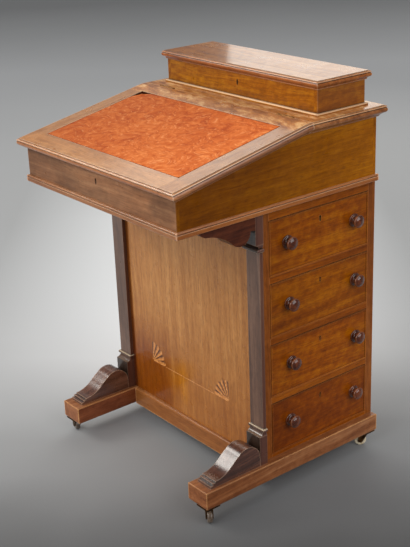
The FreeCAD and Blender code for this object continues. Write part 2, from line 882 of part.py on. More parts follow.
def leather_outline(width, margin, depth):
    """Panel let into the slope, margin wider all round than the leather."""
    near = slope_length - leather_front_border + margin
    far = near - leather_length - 2 * margin
    steps = [on_slope(near, 0), on_slope(far, 0), on_slope(far, depth), on_slope(near, depth)]
    return prism_across(both(width / 2 + margin), steps)


def slope_lid():
    steps = [
        on_slope(slope_length, 0), on_slope(bend_half, 0), (bend_middle(0), (joint_y, top_z)),
        (joint_y, under_top_z), (bend_middle(top_thickness), on_slope(bend_half, top_thickness)),
        on_slope(slope_length, top_thickness),
    ]
    lid = prism_across(both(half_top), steps)
    for cutter in slope_edge_cutters():
        lid = lid.cut(cutter)
    pockets = [leather_outline(leather_width, leather_gap, leather_thickness), slope_link()]
    return [lid.cut(pockets + slope_hinges()["moving_pocket"])]


def leather_skiver():
    return [leather_outline(leather_width, 0, leather_thickness)]


# ---- stationery box

def stationery_case():
    """Four mitred walls and the bead planted round their foot."""
    x, y = both(half_stationery), (stationery_front, stationery_back)
    inner_x = half_stationery - stationery_wall
    inner_y = (y[0] + stationery_wall, y[1] - stationery_wall)
    z = (top_z, stationery_z)
    side = prism_up(z, [(x[1], y[0]), (x[1], y[1]), (inner_x, inner_y[1]), (inner_x, inner_y[0])])
    front = prism_up(z, [(x[0], y[0]), (x[1], y[0]), (inner_x, inner_y[0]), (-inner_x, inner_y[0])])
    back = prism_up(z, [(x[0], y[1]), (x[1], y[1]), (inner_x, inner_y[1]), (-inner_x, inner_y[1])])
    front = front.cut([lock_case(stationery_lock()), lid_keyhole(stationery_lock(), y[0], stationery_wall)])
    back = back.cut(stationery_hinges()["fixed_pocket"])
    b = base_bead
    bead = [(0, 0), (b, 0), bowed((b, 0), (b * 0.6, b), -b * 0.3), (0, b)]
    return pair(side) + [front, back] + mitred_frame(x, y, top_z, bead, b)


def stationery_lid():
    x = both(half_stationery + stationery_overhang)
    y = (stationery_front - stationery_overhang, stationery_back + stationery_overhang)
    edges = ("right", "left", "front", "back")
    thickness = stationery_lid_thickness - lid_gap
    waste = edge_waste(thickness, stationery_overhang, small_edge_foot)
    lid = flat_top(x, y, stationery_z + lid_gap, thickness, waste, edges)
    return [lid.cut([stationery_link()] + stationery_hinges()["moving_pocket"])]


def divider_spans():
    """Free spaces between the stationery box's two dividers, on X."""
    inner = half_stationery - stationery_wall
    space = (2 * inner - 2 * divider_thickness) / 3
    starts = [-inner + k * (space + divider_thickness) for k in range(3)]
    return [(s, s + space) for s in starts]


# ---- fittings inside the desk box

def inner_drawer_z():
    return (well_z, well_z + inner_opening)


def fittings_y():
    return (back_y - desk_wall - fittings_depth, back_y - desk_wall)


def fittings():
    """Shelf over two small drawers, the uprights below and above it, and the stationery dividers."""
    y = fittings_y()
    low, high = inner_drawer_z()
    shelf_z = high + fittings_board
    solids = [
        box(both(fittings_board / 2), y, (low, high)),
        box(both(half_inside), y, (high, shelf_z)),
    ]
    pitch = 2 * half_inside / (upright_count + 1)
    for k in range(upright_count):
        x = -half_inside + (k + 1) * pitch
        half = divider_thickness / 2
        solids.append(box((x - half, x + half), y, (shelf_z, under_top_z)))
    inner_y = (stationery_front + stationery_wall, stationery_back - stationery_wall)
    z = (top_z, stationery_z - divider_drop)
    for span in divider_spans()[:2]:
        solids.append(box((span[1], span[1] + divider_thickness), inner_y, z))
    return solids


def inner_drawer():
    """Small drawer on the right-hand side: front, sides, back, bottom and knob."""
    low, high = inner_drawer_z()
    x = (fittings_board / 2 + inner_gap, half_inside - inner_gap)
    y = (fittings_y()[0], fittings_y()[1] - inner_back_room)
    z = (low + slide_gap, high - 2 * inner_gap)
    inside = (x[0] + inner_lining, x[1] - inner_lining)
    box_y = (y[0] + inner_front, y[1])
    floor = (z[0] + inner_bottom, z[0] + 2 * inner_bottom)
    at = V(sum(x) / 2, y[0], sum(z) / 2)
    dowel = (inner_dowel_radius, inner_dowel_length)
    steps = knob_outline(inner_knob_radius, inner_knob_length, inner_knob_base, inner_knob_neck, dowel)
    hole = Part.makeCylinder(dowel[0] + dowel_gap, dowel[1] + spare, at + V(0, dowel[1], 0), V(0, -1, 0))
    return [
        box(x, (y[0], box_y[0]), z).cut(hole),
        box((x[0], inside[0]), box_y, (z[0], z[1] - inner_gap)),
        box((inside[1], x[1]), box_y, (z[0], z[1] - inner_gap)),
        box(inside, (y[1] - inner_lining, y[1]), (floor[1], z[1] - inner_gap)),
        box(inside, box_y, floor),
        turned(lambda out, r: V(at.x, at.y - out, at.z + r), at, V(0, 1, 0), steps),
    ]


# ---- locks of the lids

def slope_lock():
    """Place and sizes of the lock in the front of the desk box."""
    inner = front_y + desk_wall
    y = (inner - slope_lock_thickness, inner)
    top = on_slope((break_y - y[0]) / math.cos(lean), top_thickness)[1] - lid_gap
    return {"y": y, "top": top, "height": slope_lock_height, "key": slope_key_depth,
            "staple": slope_staple_width, "over": under_lid()}


def stationery_lock():
    """Place and sizes of the lock in the front of the stationery box."""
    inner = stationery_front + stationery_wall
    y = (inner - stationery_lock_thickness, inner)
    over = box(both(lock_width), y, (stationery_z, stationery_z + 2 * spare))
    return {"y": y, "top": stationery_z, "height": stationery_lock_height, "key": stationery_key_depth,
            "staple": stationery_staple_width, "over": over}


def lock_case(lock):
    """Case that ends flush with the top of its wall."""
    case = box(both(lock_width / 2), lock["y"], (lock["top"] - lock["height"], lock["top"] + spare))
    return case.cut(lock["over"])


def lid_keyhole(lock, wall_y, depth):
    return keyhole(V(0, wall_y - spare, lock["top"] - lock["key"]), V(0, depth + spare, 0))


def staple_y(lock):
    back = lock["y"][1] - link_wall - latch_gap
    return (back - lock["staple"], back)


def latch(lock):
    """Bolt of a lid lock, drawn back beside its staple; it slides to the right."""
    x = (-latch_room - latch_length, -latch_room)
    inset = staple_rim + latch_gap / 2
    y = (staple_y(lock)[0] + inset, staple_y(lock)[1] - inset)
    low = lock["top"] - staple_length + staple_rim
    return [box(x, y, (low + latch_gap / 2, low + staple_eye - latch_gap / 2))]


def lid_lock(lock):
    """Case with a groove for the bolt and, over the staple only, an open mouth."""
    b = latch(lock)[0].BoundBox
    groove_x = (b.XMin - latch_gap, b.XMax + latch_travel + latch_gap)
    groove_y = (b.YMin - bolt_gap, b.YMax + bolt_gap)
    groove = box(groove_x, groove_y, (b.ZMin - bolt_gap, b.ZMax + bolt_gap))
    mouth_x = (-latch_gap, staple_thickness + latch_gap)
    mouth_y = (lock["y"][0] + link_wall, lock["y"][1] - link_wall)
    mouth = box(mouth_x, mouth_y, (lock["top"] - staple_length - link_wall, lock["top"] + 2 * spare))
    return lock_case(lock).cut([groove, mouth, lid_keyhole(lock, lock["y"][0], link_wall)])


def staple(lock):
    """Leg with an eye for the bolt, hanging from a lid into its lock."""
    leg = box((0, staple_thickness), staple_y(lock), (lock["top"] - staple_length, lock["top"] + spare))
    low = lock["top"] - staple_length + staple_rim
    y = (staple_y(lock)[0] + staple_rim, staple_y(lock)[1] - staple_rim)
    return leg.cut(box((-spare, staple_thickness + spare), y, (low, low + staple_eye)))


def slope_link():
    """Link plate let into the underside of the slope lid."""
    near, far = [(break_y - y) / math.cos(lean) for y in slope_lock()["y"]]
    under = top_thickness - link_plate
    low, high = on_slope(near, top_thickness), on_slope(far, top_thickness)
    steps = [low, high, on_slope(far, under), on_slope(near, under)]
    return prism_across(both(link_plate_width / 2), steps)


def over_slope_link():
    """Everything above the top face of the slope's link plate."""
    under = top_thickness - link_plate
    steps = [on_slope(slope_length, under), on_slope(bend_half, under), on_slope(bend_half, -spare),
             on_slope(slope_length, -spare)]
    return prism_across(both(link_plate_width), steps)


def stationery_link():
    z = stationery_z + lid_gap
    return box(both(link_plate_width / 2), stationery_lock()["y"], (z, z + link_plate))


def over_stationery_link():
    z = stationery_z + lid_gap + link_plate
    return box(both(link_plate_width), stationery_lock()["y"], (z, z + 2 * spare))


def lid_locks():
    return [lid_lock(slope_lock()), lid_lock(stationery_lock())]


def slope_lid_brasses():
    leg = staple(slope_lock()).cut(over_slope_link())
    return [slope_link().fuse(leg).removeSplitter()] + slope_hinges()["moving"]


def stationery_lid_brasses():
    leg = staple(stationery_lock()).cut(over_stationery_link())
    return [stationery_link().fuse(leg).removeSplitter()] + stationery_hinges()["moving"]


# ---- butt hinges

def butt_hinge(leaf, gap):
    """Folded hinge about X at the origin: leaves point down, the fixed one behind the moving one."""
    end = hinge_length / 2
    inner = hinge_length / 6
    c = knuckle_gap / 2
    spans = [(-end, -inner - c), (-inner + c, inner - c), (inner + c, end)]
    fixed_y = (gap / 2, gap / 2 + leaf_thickness)
    moving_y = (-fixed_y[1], -fixed_y[0])
    plate_z = (-leaf, -knuckle_radius - knuckle_gap)

    def with_knuckles(y, chosen):
        solid = box(both(end), y, plate_z)
        for span in chosen:
            web = box(span, y, (plate_z[1], 0))
            barrel = Part.makeCylinder(knuckle_radius, span[1] - span[0], V(span[0], 0, 0), ACROSS)
            solid = solid.fuse([web, barrel])
        return solid

    def rod(radius, length):
        return Part.makeCylinder(radius, length, V(-length / 2, 0, 0), ACROSS)

    room = rod(knuckle_radius + knuckle_gap, hinge_length + 2 * knuckle_gap)
    side = both(end)
    pin = rod(pin_radius, hinge_length)
    bore = rod(pin_radius + pin_gap, hinge_length)
    return {
        "fixed": with_knuckles(fixed_y, (spans[0], spans[2])).fuse(pin).removeSplitter(),
        "moving": with_knuckles(moving_y, spans[1:2]).cut(bore).removeSplitter(),
        "fixed_pocket": box(side, fixed_y, (-leaf, 0)).fuse(room),
        "moving_pocket": box(side, moving_y, (-leaf, 0)).fuse(room),
    }


def placed_hinges(leaf, gap, y, z, turn):
    """Two hinges at their places, turned about X, as a list for each kind of piece."""
    placed = {}
    for name, shape in butt_hinge(leaf, gap).items():
        placed[name] = []
        for side in (-1, 1):
            copy = shape.copy()
            copy.rotate(V(0, 0, 0), ACROSS, turn)
            copy.translate(V(side * (half_desk - hinge_inset), y, z))
            placed[name].append(copy)
    return placed


def slope_hinges():
    return placed_hinges(slope_leaf, board_gap, hinge_y, top_z, 0)


def stationery_hinges():
    return placed_hinges(stationery_leaf, lid_gap, stationery_hinge_y, stationery_hinge_z, -90)


def hinge_leaves():
    return slope_hinges()["fixed"] + stationery_hinges()["fixed"]


# ---- casters

def caster_place(name):
    """Swivel axis on X and Y, by the caster's corner."""
    x = foot_x[1] - caster_inset
    y = foot_front + caster_end if name.startswith("front") else pedestal_back - caster_end
    return (x if name.endswith("right") else -x, y)


def set_caster(shape, name):
    """Turns a caster piece to its resting direction and carries it to its corner."""
    shape.rotate(V(0, 0, 0), UP, caster_turns[name])
    x, y = caster_place(name)
    shape.translate(V(x, y, 0))
    return shape


def plate_bottom():
    return foot_z - plate_thickness


def screw_places():
    half = screw_spacing / 2
    return [(a, b) for a in (-half, half) for b in (-half, half)]


def screw_head(a, b):
    """Countersunk head flush with the plate, over a plain shank."""
    z = plate_bottom()
    core = screw_radius / 2
    head = Part.makeCone(screw_radius, core, screw_sink, V(a, b, z), UP)
    return head.fuse(Part.makeCylinder(core, screw_length - screw_sink, V(a, b, z + screw_sink), UP))


def caster_screws():
    screws = []
    for name in caster_turns:
        x, y = caster_place(name)
        for a, b in screw_places():
            screws.append(screw_head(x + a, y + b).removeSplitter())
    return screws


def caster_plates():
    plates = []
    for name in caster_turns:
        x, y = caster_place(name)
        half = plate_side / 2
        plate = box((x - half, x + half), (y - half, y + half), (plate_bottom(), foot_z))
        depth = plate_thickness + 2 * spare
        hole = Part.makeCylinder(stem_radius + stem_gap, depth, V(x, y, plate_bottom() - spare), UP)
        plates.append(plate.cut([hole] + [screw_head(x + a, y + b) for a, b in screw_places()]))
    return plates + caster_screws()


def caster_horn(name):
    """Crown with its stem, two cheeks down to the axle, and the axle pin."""
    crown_z = plate_bottom() - horn_gap
    cheek_y = wheel_width / 2 + horn_gap
    crown = Part.makeCylinder(horn_radius, horn_crown, V(0, 0, crown_z - horn_crown), UP)
    stem = Part.makeCylinder(stem_radius, plate_thickness, V(0, 0, crown_z), UP)
    eye = (-caster_trail, wheel_radius)
    top = crown_z
    steps = [
        (horn_radius - 1.5, top), (-horn_radius, top), (-horn_radius, top - horn_crown),
        around(eye, horn_end, 165), (around(eye, horn_end, 250), around(eye, horn_end, 335)),
        (horn_radius - 1.5, top - horn_crown),
    ]
    cheek = prism_deep((cheek_y, cheek_y + horn_cheek), steps)
    other = prism_deep((-cheek_y - horn_cheek, -cheek_y), steps)
    bridge = box((-horn_radius, horn_radius - 1.5), both(cheek_y + horn_cheek), (top - horn_crown, top))
    length = 2 * (cheek_y + horn_cheek)
    pin = Part.makeCylinder(axle_radius, length, V(eye[0], -length / 2, eye[1]), V(0, 1, 0))
    return [set_caster(crown.fuse([stem, cheek, other, bridge, pin]).removeSplitter(), name)]


def caster_wheel(name):
    """Ceramic wheel with rounded rims and a bore for the axle pin."""
    half = wheel_width / 2
    bore = axle_radius + axle_gap
    shoulder = wheel_radius - wheel_round
    tread = half - wheel_round
    rise = 0.29 * wheel_round
    steps = [
        (-half, bore), (-half, shoulder), bowed((-half, shoulder), (-tread, wheel_radius), rise),
        (tread, wheel_radius), bowed((tread, wheel_radius), (half, shoulder), rise), (half, bore),
    ]
    centre = V(-caster_trail, 0, wheel_radius)
    wheel = turned(lambda w, r: V(centre.x, w, centre.z + r), centre, V(0, 1, 0), steps)
    return [set_caster(wheel, name)]


# ---- the pieces, one file each

nodes = {
    "sledge_feet": sledge_feet(),
    "plinth_rails": plinth_rails(),
    "foot_scrolls": foot_scrolls(),
    "pilasters": pilasters(),
    "top_brackets": top_brackets(),
    "front_panel": front_panel(),
    "fan_inlays": fan_inlays(),
    "back_panel": back_panel(),
    "drawer_side_frame": side_frame(),
    "dummy_side_frame": dummy_side_frame(),
    "dummy_drawer_fronts": dummy_drawer_fronts(),
    "dummy_knobs": dummy_knobs(),
    "dust_boards": dust_boards(),
    "desk_front": desk_front(),
    "desk_walls": desk_walls(),
    "desk_floor": desk_floor_board(),
    "waist_moulding": waist_moulding(),
    "desk_top": desk_top(),
    "stationery_case": stationery_case(),
    "inner_fittings": fittings(),
    "hinge_leaves": hinge_leaves(),
    "lid_locks": lid_locks(),
    "caster_plates": caster_plates(),
    "slope_lid": slope_lid(),
    "leather_skiver": leather_skiver(),
    "slope_lid_brasses": slope_lid_brasses(),
    "slope_lock_bolt": latch(slope_lock()),
    "stationery_lid": stationery_lid(),
    "stationery_lid_brasses": stationery_lid_brasses(),
    "stationery_lock_bolt": latch(stationery_lock()),
    "inner_drawer_right": inner_drawer(),
    "inner_drawer_left": [mirrored(s) for s in inner_drawer()],
}
for k in range(drawer_count):
    number = k + 1
    nodes[f"drawer_{number}_front"] = drawer_front(k)
    nodes[f"drawer_{number}_box"] = drawer_box(k)
    nodes[f"drawer_{number}_knobs"] = drawer_knobs(k)
    nodes[f"drawer_{number}_lock"] = drawer_fittings(k)
    nodes[f"drawer_{number}_bolt"] = [bolt(k)]
for name in caster_turns:
    nodes[f"caster_{name}_horn"] = caster_horn(name)
    nodes[f"caster_{name}_wheel"] = caster_wheel(name)

os.makedirs("parts", exist_ok=True)
for name, solids in nodes.items():
    shape = solids[0] if len(solids) == 1 else Part.makeCompound(solids)
    shape.exportStep(f"parts/{name}.step")
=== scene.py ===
import math

import bmesh
import bpy
from mathutils import Matrix, Quaternion, Vector, noise


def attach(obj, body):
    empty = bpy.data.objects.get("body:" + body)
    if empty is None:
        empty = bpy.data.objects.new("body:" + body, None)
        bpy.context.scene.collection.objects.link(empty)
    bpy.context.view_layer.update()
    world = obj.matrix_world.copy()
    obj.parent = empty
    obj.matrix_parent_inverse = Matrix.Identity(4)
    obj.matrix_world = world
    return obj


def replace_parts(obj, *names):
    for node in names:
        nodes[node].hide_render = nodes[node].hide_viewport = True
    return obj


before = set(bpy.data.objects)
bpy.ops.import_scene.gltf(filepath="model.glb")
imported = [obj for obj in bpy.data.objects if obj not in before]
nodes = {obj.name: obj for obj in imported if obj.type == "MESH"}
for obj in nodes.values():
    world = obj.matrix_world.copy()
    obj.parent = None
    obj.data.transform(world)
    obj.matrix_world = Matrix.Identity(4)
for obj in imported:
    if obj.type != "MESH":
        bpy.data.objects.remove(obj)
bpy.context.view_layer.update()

# The camera: a long lens on a tripod at standing height, off the front right corner of the desk, looking down at
# it, with the tripod head a little out of level.
camera = bpy.data.objects.new("camera", bpy.data.cameras.new("camera"))
bpy.context.scene.collection.objects.link(camera)
bpy.context.scene.camera = camera
camera.data.sensor_width = 36.0
camera.data.lens = 73.9
camera.data.shift_x = 0.002
camera.data.shift_y = -0.0175
camera.data.clip_end = 120.0
camera.location = (1.78493, -1.37873, 1.31026)
aim = Vector((0.00273, 0.00021, 0.43448)) - camera.location
out_of_level = Quaternion((0.0, 0.0, 1.0), -0.04)
camera.rotation_mode = "QUATERNION"
camera.rotation_quaternion = aim.to_track_quat("-Z", "Y") @ out_of_level


# The studio: a wide floor of painted board under soft panels. Its greys are painted light: darkest in front of the
# desk, palest a few metres behind it and darker again far off, with a painted pool of light just behind the desk.
# Every finish is laid with the same few node helpers, and they are here because the floor's paint is the first to
# need them.
def tint(red, green, blue):
    """A colour from its 0 to 255 values on a screen."""
    parts = [v / 255 for v in (red, green, blue)]
    return (*[v / 12.92 if v <= 0.04045 else ((v + 0.055) / 1.055) ** 2.4 for v in parts], 1.0)


def lay(tree, kind, inputs=None, out=0, **settings):
    """One node of a finish; inputs are values or other nodes' outputs. Returns its output."""
    made = tree.nodes.new("ShaderNode" + kind)
    for key, value in settings.items():
        setattr(made, key, value)
    for socket, value in (inputs or {}).items():
        if isinstance(value, bpy.types.NodeSocket):
            tree.links.new(value, made.inputs[socket])
        else:
            made.inputs[socket].default_value = value
    return made.outputs[out]


def calc(tree, operation, a, b=0.0, c=0.0):
    return lay(tree, "Math", {0: a, 1: b, 2: c}, operation=operation)


def measure(tree, operation, a, b=(0.0, 0.0, 0.0)):
    """A number worked out from one place or two, such as their distance."""
    return lay(tree, "VectorMath", {0: a, 1: b}, out=1, operation=operation)


def span(tree, value, low, high, to_low=0.0, to_high=1.0):
    """value from low..high to to_low..to_high, held at the ends."""
    return lay(tree, "MapRange", {0: value, 1: low, 2: high, 3: to_low, 4: to_high})


def swung(tree, value, noisy, much):
    """value moved up and down by a noise that lies round a half."""
    return calc(tree, "MULTIPLY_ADD", calc(tree, "SUBTRACT", noisy, 0.5), much, value)


def blend_colours(tree, share, a, b, how="MIX"):
    return lay(tree, "Mix", {0: share, 6: a, 7: b}, out=2, data_type="RGBA", blend_type=how)


def dyed(tree, colour, dye, share=1.0):
    """colour multiplied by dye, a colour or a number."""
    return blend_colours(tree, share, colour, dye, "MULTIPLY")


def graded(tree, value, *stops):
    """Colours along value: stops are (place, colour)."""
    ramp = tree.nodes.new("ShaderNodeValToRGB")
    points = ramp.color_ramp.elements
    while len(points) < len(stops):
        points.new(0.5)
    for point, (at, colour) in zip(points, stops):
        point.position = at
        point.color = colour
    tree.links.new(value, ramp.inputs[0])
    return ramp.outputs[0]


def speckle(tree, at, stretch, detail=2.0, rough=0.5, shift=(0.0, 0.0, 0.0)):
    """Noise at stretch repeats a metre, one number for every way or three."""
    repeats = (stretch,) * 3 if isinstance(stretch, float) else stretch
    spread = lay(tree, "Mapping", {0: at, "Scale": repeats, "Location": shift})
    return lay(tree, "TexNoise", {"Vector": spread, "Scale": 1.0, "Detail": detail, "Roughness": rough})


def raised(tree, height, strength, depth, **over):
    """Bumps as deep as depth where height is 1; over may give the normal that they lie on."""
    return lay(tree, "Bump", {"Strength": strength, "Distance": depth, "Height": height, **over})


def object_place(tree):
    return lay(tree, "TexCoord", out=3)


def finish_named(name):
    finish = bpy.data.materials.new(name)
    finish.use_nodes = True
    tree = finish.node_tree
    return finish, tree, tree.nodes["Principled BSDF"].inputs


def wire(tree, sockets, **values):
    """Sets or links the shader's sockets, named with _ for a space."""
    for name, value in values.items():
        socket = sockets[name.replace("_", " ")]
        if isinstance(value, bpy.types.NodeSocket):
            tree.links.new(value, socket)
        else:
            socket.default_value = value


away, across = (-0.79, 0.61, 0.0), (0.61, 0.79, 0.0)
# Painted light: the floor's greys by distance behind the desk, darkest in front and palest a few metres behind.
painted_light_greys = ((0.055, 76), (0.074, 108), (0.09, 134), (0.12, 154), (0.16, 166), (0.26, 162), (0.44, 180), (0.53, 184),
         (0.64, 164), (0.8, 133))
floor_painted_light_finish, tree, sockets = finish_named("floor_with_painted_light")
at = object_place(tree)
behind = measure(tree, "DOT_PRODUCT", at, away)
behind = swung(tree, behind, speckle(tree, at, 1.3, 3.0), 0.3)
paint = graded(tree, span(tree, behind, -1.0, 9.0), *[(place, tint(grey, grey, grey)) for place, grey in painted_light_greys])
beside = calc(tree, "ABSOLUTE", measure(tree, "DOT_PRODUCT", at, across))
# A painted pool of light just behind the desk, brightest across its middle.
painted_light_pool = calc(tree, "MULTIPLY", span(tree, behind, 0.05, 0.45), span(tree, behind, 1.6, 3.0, 1.0, 0.0))
painted_light_pool = calc(tree, "MULTIPLY", span(tree, beside, 0.2, 0.68, 0.85, 0.0), painted_light_pool)
paint = blend_colours(tree, painted_light_pool, paint, tint(226, 226, 226))
paint = dyed(tree, paint, (0.98, 0.995, 1.01, 1.0))
grit = speckle(tree, at, 400.0)
wire(tree, sockets, Base_Color=paint, Roughness=span(tree, grit, 0.3, 0.7, 0.65, 0.8),
     Normal=raised(tree, grit, 0.05, 0.0005))

mesh = bpy.data.meshes.new("floor")
shape = bmesh.new()
bmesh.ops.create_circle(shape, cap_ends=True, segments=64, radius=40.0)
shape.to_mesh(mesh)
shape.free()
floor = bpy.data.objects.new("floor", mesh)
bpy.context.scene.collection.objects.link(floor)
floor.data.materials.append(floor_painted_light_finish)


def panel_light(name, place, towards, width, height, brightness, colour=(1.0, 1.0, 1.0)):
    """A soft panel; brightness is its radiance, where 1 is white."""
    lamp = bpy.data.lights.new(name, "AREA")
    lamp.shape = "RECTANGLE"
    lamp.color = colour
    lamp.size, lamp.size_y = width, height
    lamp.energy = brightness * math.pi * width * height
    panel = bpy.data.objects.new(name, lamp)
    bpy.context.scene.collection.objects.link(panel)
    panel.location = place
    panel.rotation_mode = "QUATERNION"
    panel.rotation_quaternion = (Vector(towards) - Vector(place)).to_track_quat("-Z", "Y")


panel_light("front_panel_light", (-0.2, -3.2, 2.0), (0.0, 0.0, 0.35), 3.4, 2.8, 2.5)
panel_light("side_panel_light", (3.1, 0.6, 1.9), (0.2, 0.0, 0.4), 3.0, 2.4, 2.2)
panel_light("back_panel_light", (-1.76, 2.36, 2.1), (0.0, 0.0, 0.8), 1.46, 1.9, 1.65, (1.0, 0.97, 0.89))
panel_light("slope_panel_light", (-2.3, 1.1, 2.55), (0.0, 0.0, 0.7), 1.2, 0.8, 2.15, (1.0, 0.97, 0.89))
panel_light("left_panel_light", (-1.92, -1.5, 2.15), (0.2, -0.15, 0.12), 1.2, 0.9, 8.5, (1.0, 0.97, 0.91))

world = bpy.data.worlds.new("studio")
bpy.context.scene.world = world
world.use_nodes = True
tree = world.node_tree
rays = tree.nodes.new("ShaderNodeLightPath")
seen = calc(tree, "MAXIMUM", rays.outputs["Is Camera Ray"], rays.outputs["Is Glossy Ray"])
seen = calc(tree, "MAXIMUM", seen, rays.outputs["Is Transmission Ray"])
glow = blend_colours(tree, seen, (0.6, 0.6, 0.6, 1.0), tint(104, 104, 104))
wire(tree, tree.nodes["Background"].inputs, Color=glow)
bpy.context.scene.view_settings.view_transform = "Standard"


# Sledge feet: two square mahogany bars that lie front to back and carry the desk. They are planed, their long edges
# rounded by hand and worn pale by shoes, with a painted highlight along them. Painted light brightens their front
# ends, and painted shade darkens the left foot's inner side, which faces in under the desk.
def ways(tree, at):
    """The three numbers of a place, out along X, Y and Z."""
    split = tree.nodes.new("ShaderNodeSeparateXYZ")
    tree.links.new(at, split.inputs[0])
    return split.outputs[:]


def facing(tree, at, along, cross):
    """Turns the place so that the grain runs along X. cross = (way, middle, half, other) gives the parts of a
    frame that lie beyond half from middle the other way of grain."""
    turns = {"X": (0.0, 0.0, 0.0), "Y": (0.0, 0.0, -math.pi / 2), "Z": (0.0, math.pi / 2, 0.0)}
    one = lay(tree, "Mapping", {0: at, "Rotation": turns[along]})
    if not cross:
        return one
    way, middle, half, other = cross
    second = lay(tree, "Mapping", {0: at, "Rotation": turns[other], "Location": (0.31, 0.17, 0.23)})
    from_middle = calc(tree, "SUBTRACT", ways(tree, at)["XYZ".index(way)], middle)
    beyond = calc(tree, "GREATER_THAN", calc(tree, "ABSOLUTE", from_middle), half)
    return lay(tree, "Mix", {0: beyond, 4: one, 5: second}, out=1, data_type="VECTOR")


def openness(tree, reach, inside=False):
    """1 on a flat face and less in a corner, within reach; with inside, less at a sharp edge instead."""
    return lay(tree, "AmbientOcclusion", {"Distance": reach}, out=1, samples=4, only_local=True, inside=inside)


def polished_wood(name, along, tones, cross=None, cut=(0.0, 0.0, 0.0), heart=(0.22, -0.3), lean=(0.03, 0.045),
                  ring=0.016, figure=0.35, slant=0.7, gloss=0.27, coat=0.2, shine=0.2, crease_shade=0.55, edge_wear_and_highlight=0.3,
                  edge_reach=0.0015, calm=0.7, film=0.1, extra=None):
    """French-polished mahogany in four tones: dark, middle, pale, and that of the pale edges, bare wood worn through
    with a painted highlight. The rings lie round a heart beside the board, so a plain-sawn face shows arches;
    figure is the cross-grain flame and slant its angle; calm is how much of the grain shows; extra lays what one
    piece alone has."""
    finish, tree, sockets = finish_named(name)
    dark, middle, pale, bare_and_lit_tone = [tint(*tone) for tone in tones]
    at = object_place(tree)
    board = lay(tree, "Mapping", {0: facing(tree, at, along, cross), "Location": cut})
    log = lay(tree, "Mapping", {0: board, "Rotation": (0.0, *lean), "Location": (0.0, *heart)})
    sway = speckle(tree, log, (2.2, 7.0, 7.0))
    swayed = lay(tree, "VectorMath", {0: (0.0, 0.05, 0.05), 1: sway, 2: log}, operation="MULTIPLY_ADD")
    end_on = lay(tree, "VectorMath", {0: swayed, 1: (0.0, 1.0, 1.0)}, operation="MULTIPLY")
    rings = lay(tree, "TexNoise", {"W": measure(tree, "LENGTH", end_on), "Scale": 1.0 / ring, "Detail": 3.0,
                                   "Roughness": 0.6}, noise_dimensions="1D")
    streaks = speckle(tree, swayed, (3.5, 120.0, 120.0), 4.0, 0.62)
    turned = lay(tree, "Mapping", {0: board, "Rotation": (0.0, slant, slant)})
    flame = speckle(tree, turned, (14.0, 70.0, 70.0), 3.0, 0.6)
    clouds = speckle(tree, board, (2.5, 7.0, 7.0))
    tone = calc(tree, "MULTIPLY_ADD", rings, 0.5, calc(tree, "MULTIPLY", streaks, 0.5))
    tone = swung(tree, 0.5, tone, calm)
    tone = swung(tree, tone, flame, figure)
    tone = swung(tree, tone, clouds, 0.3)
    colour = graded(tree, tone, (0.34, dark), (0.5, middle), (0.66, pale))
    fibre = speckle(tree, board, (16.0, 900.0, 900.0))
    colour = dyed(tree, colour, span(tree, fibre, 0.3, 0.7, 0.86, 1.12))
    flecks = speckle(tree, board, (24.0, 340.0, 340.0))
    colour = blend_colours(tree, span(tree, flecks, 0.54, 0.7, 0.0, 0.4), colour, dark)
    pores = span(tree, speckle(tree, board, (70.0, 1500.0, 1500.0), 1.0), 0.6, 0.7)
    colour = blend_colours(tree, calc(tree, "MULTIPLY", pores, 0.5), colour, tint(38, 18, 9))
    if extra:
        colour = extra(tree, at, colour)
    # Painted shade: darker in corners and, nearer still, in the quirks of the mouldings, as much as crease_shade.
    corner = span(tree, openness(tree, 0.014), 0.35, 0.95, crease_shade, 0.0)
    colour = blend_colours(tree, corner, colour, tint(30, 14, 8))
    quirk = span(tree, openness(tree, 0.003), 0.55, 0.96, crease_shade, 0.0)
    colour = blend_colours(tree, quirk, colour, tint(22, 10, 6))
    # Pale edges: bare wood worn through by rubbing, and a painted highlight along the arrises.
    edge = span(tree, openness(tree, edge_reach, inside=True), 0.9, 0.5)
    pale_wear_and_highlight = calc(tree, "MULTIPLY", edge, span(tree, clouds, 0.35, 0.6, 0.5, 1.0))
    colour = blend_colours(tree, calc(tree, "MULTIPLY", pale_wear_and_highlight, edge_wear_and_highlight), colour, bare_and_lit_tone)
    smears = speckle(tree, at, 22.0, 4.0, 0.6)
    height = calc(tree, "MULTIPLY_ADD", pores, -0.7, fibre)
    round_edge = lay(tree, "Bevel", {"Radius": 0.0008}, samples=4)
    wire(tree, sockets, Base_Color=colour, Normal=raised(tree, height, 0.22, 0.0003, Normal=round_edge),
         Coat_Normal=raised(tree, smears, 0.1, 0.0012, Normal=round_edge), Coat_Weight=coat, Coat_Roughness=film,
         Specular_IOR_Level=shine, Roughness=span(tree, smears, 0.3, 0.7, gloss, gloss + 0.16))
    return finish


def dress(finish, *names):
    """Gives the finish to every face of the nodes."""
    for name in names:
        for slot in nodes[name].material_slots:
            slot.material = finish


def face_way(tree):
    """Which way the faces look, as three numbers."""
    return ways(tree, lay(tree, "TexCoord", out=1))


def shade_faces(tree, colour, way, low, high, shade):
    """Multiplies by shade the faces whose look along way passes from low to high."""
    return dyed(tree, colour, (*shade, 1.0), span(tree, face_way(tree)[way], low, high))


def painted_light_and_shade_on_feet(tree, at, colour):
    """Painted shade on the left foot's inner side, which faces in under the desk, and painted light on the front
    ends.
    """
    # Painted shade on the left foot's inner side.
    left = calc(tree, "LESS_THAN", ways(tree, at)[0], 0.0)
    inner = calc(tree, "MULTIPLY", left, span(tree, face_way(tree)[0], 0.5, 0.8))
    colour = dyed(tree, colour, (0.78, 0.6, 0.58, 1.0), inner)
    # Painted light on the faces that look to the front.
    return shade_faces(tree, colour, 1, -0.5, -0.8, (1.16, 1.18, 1.2))


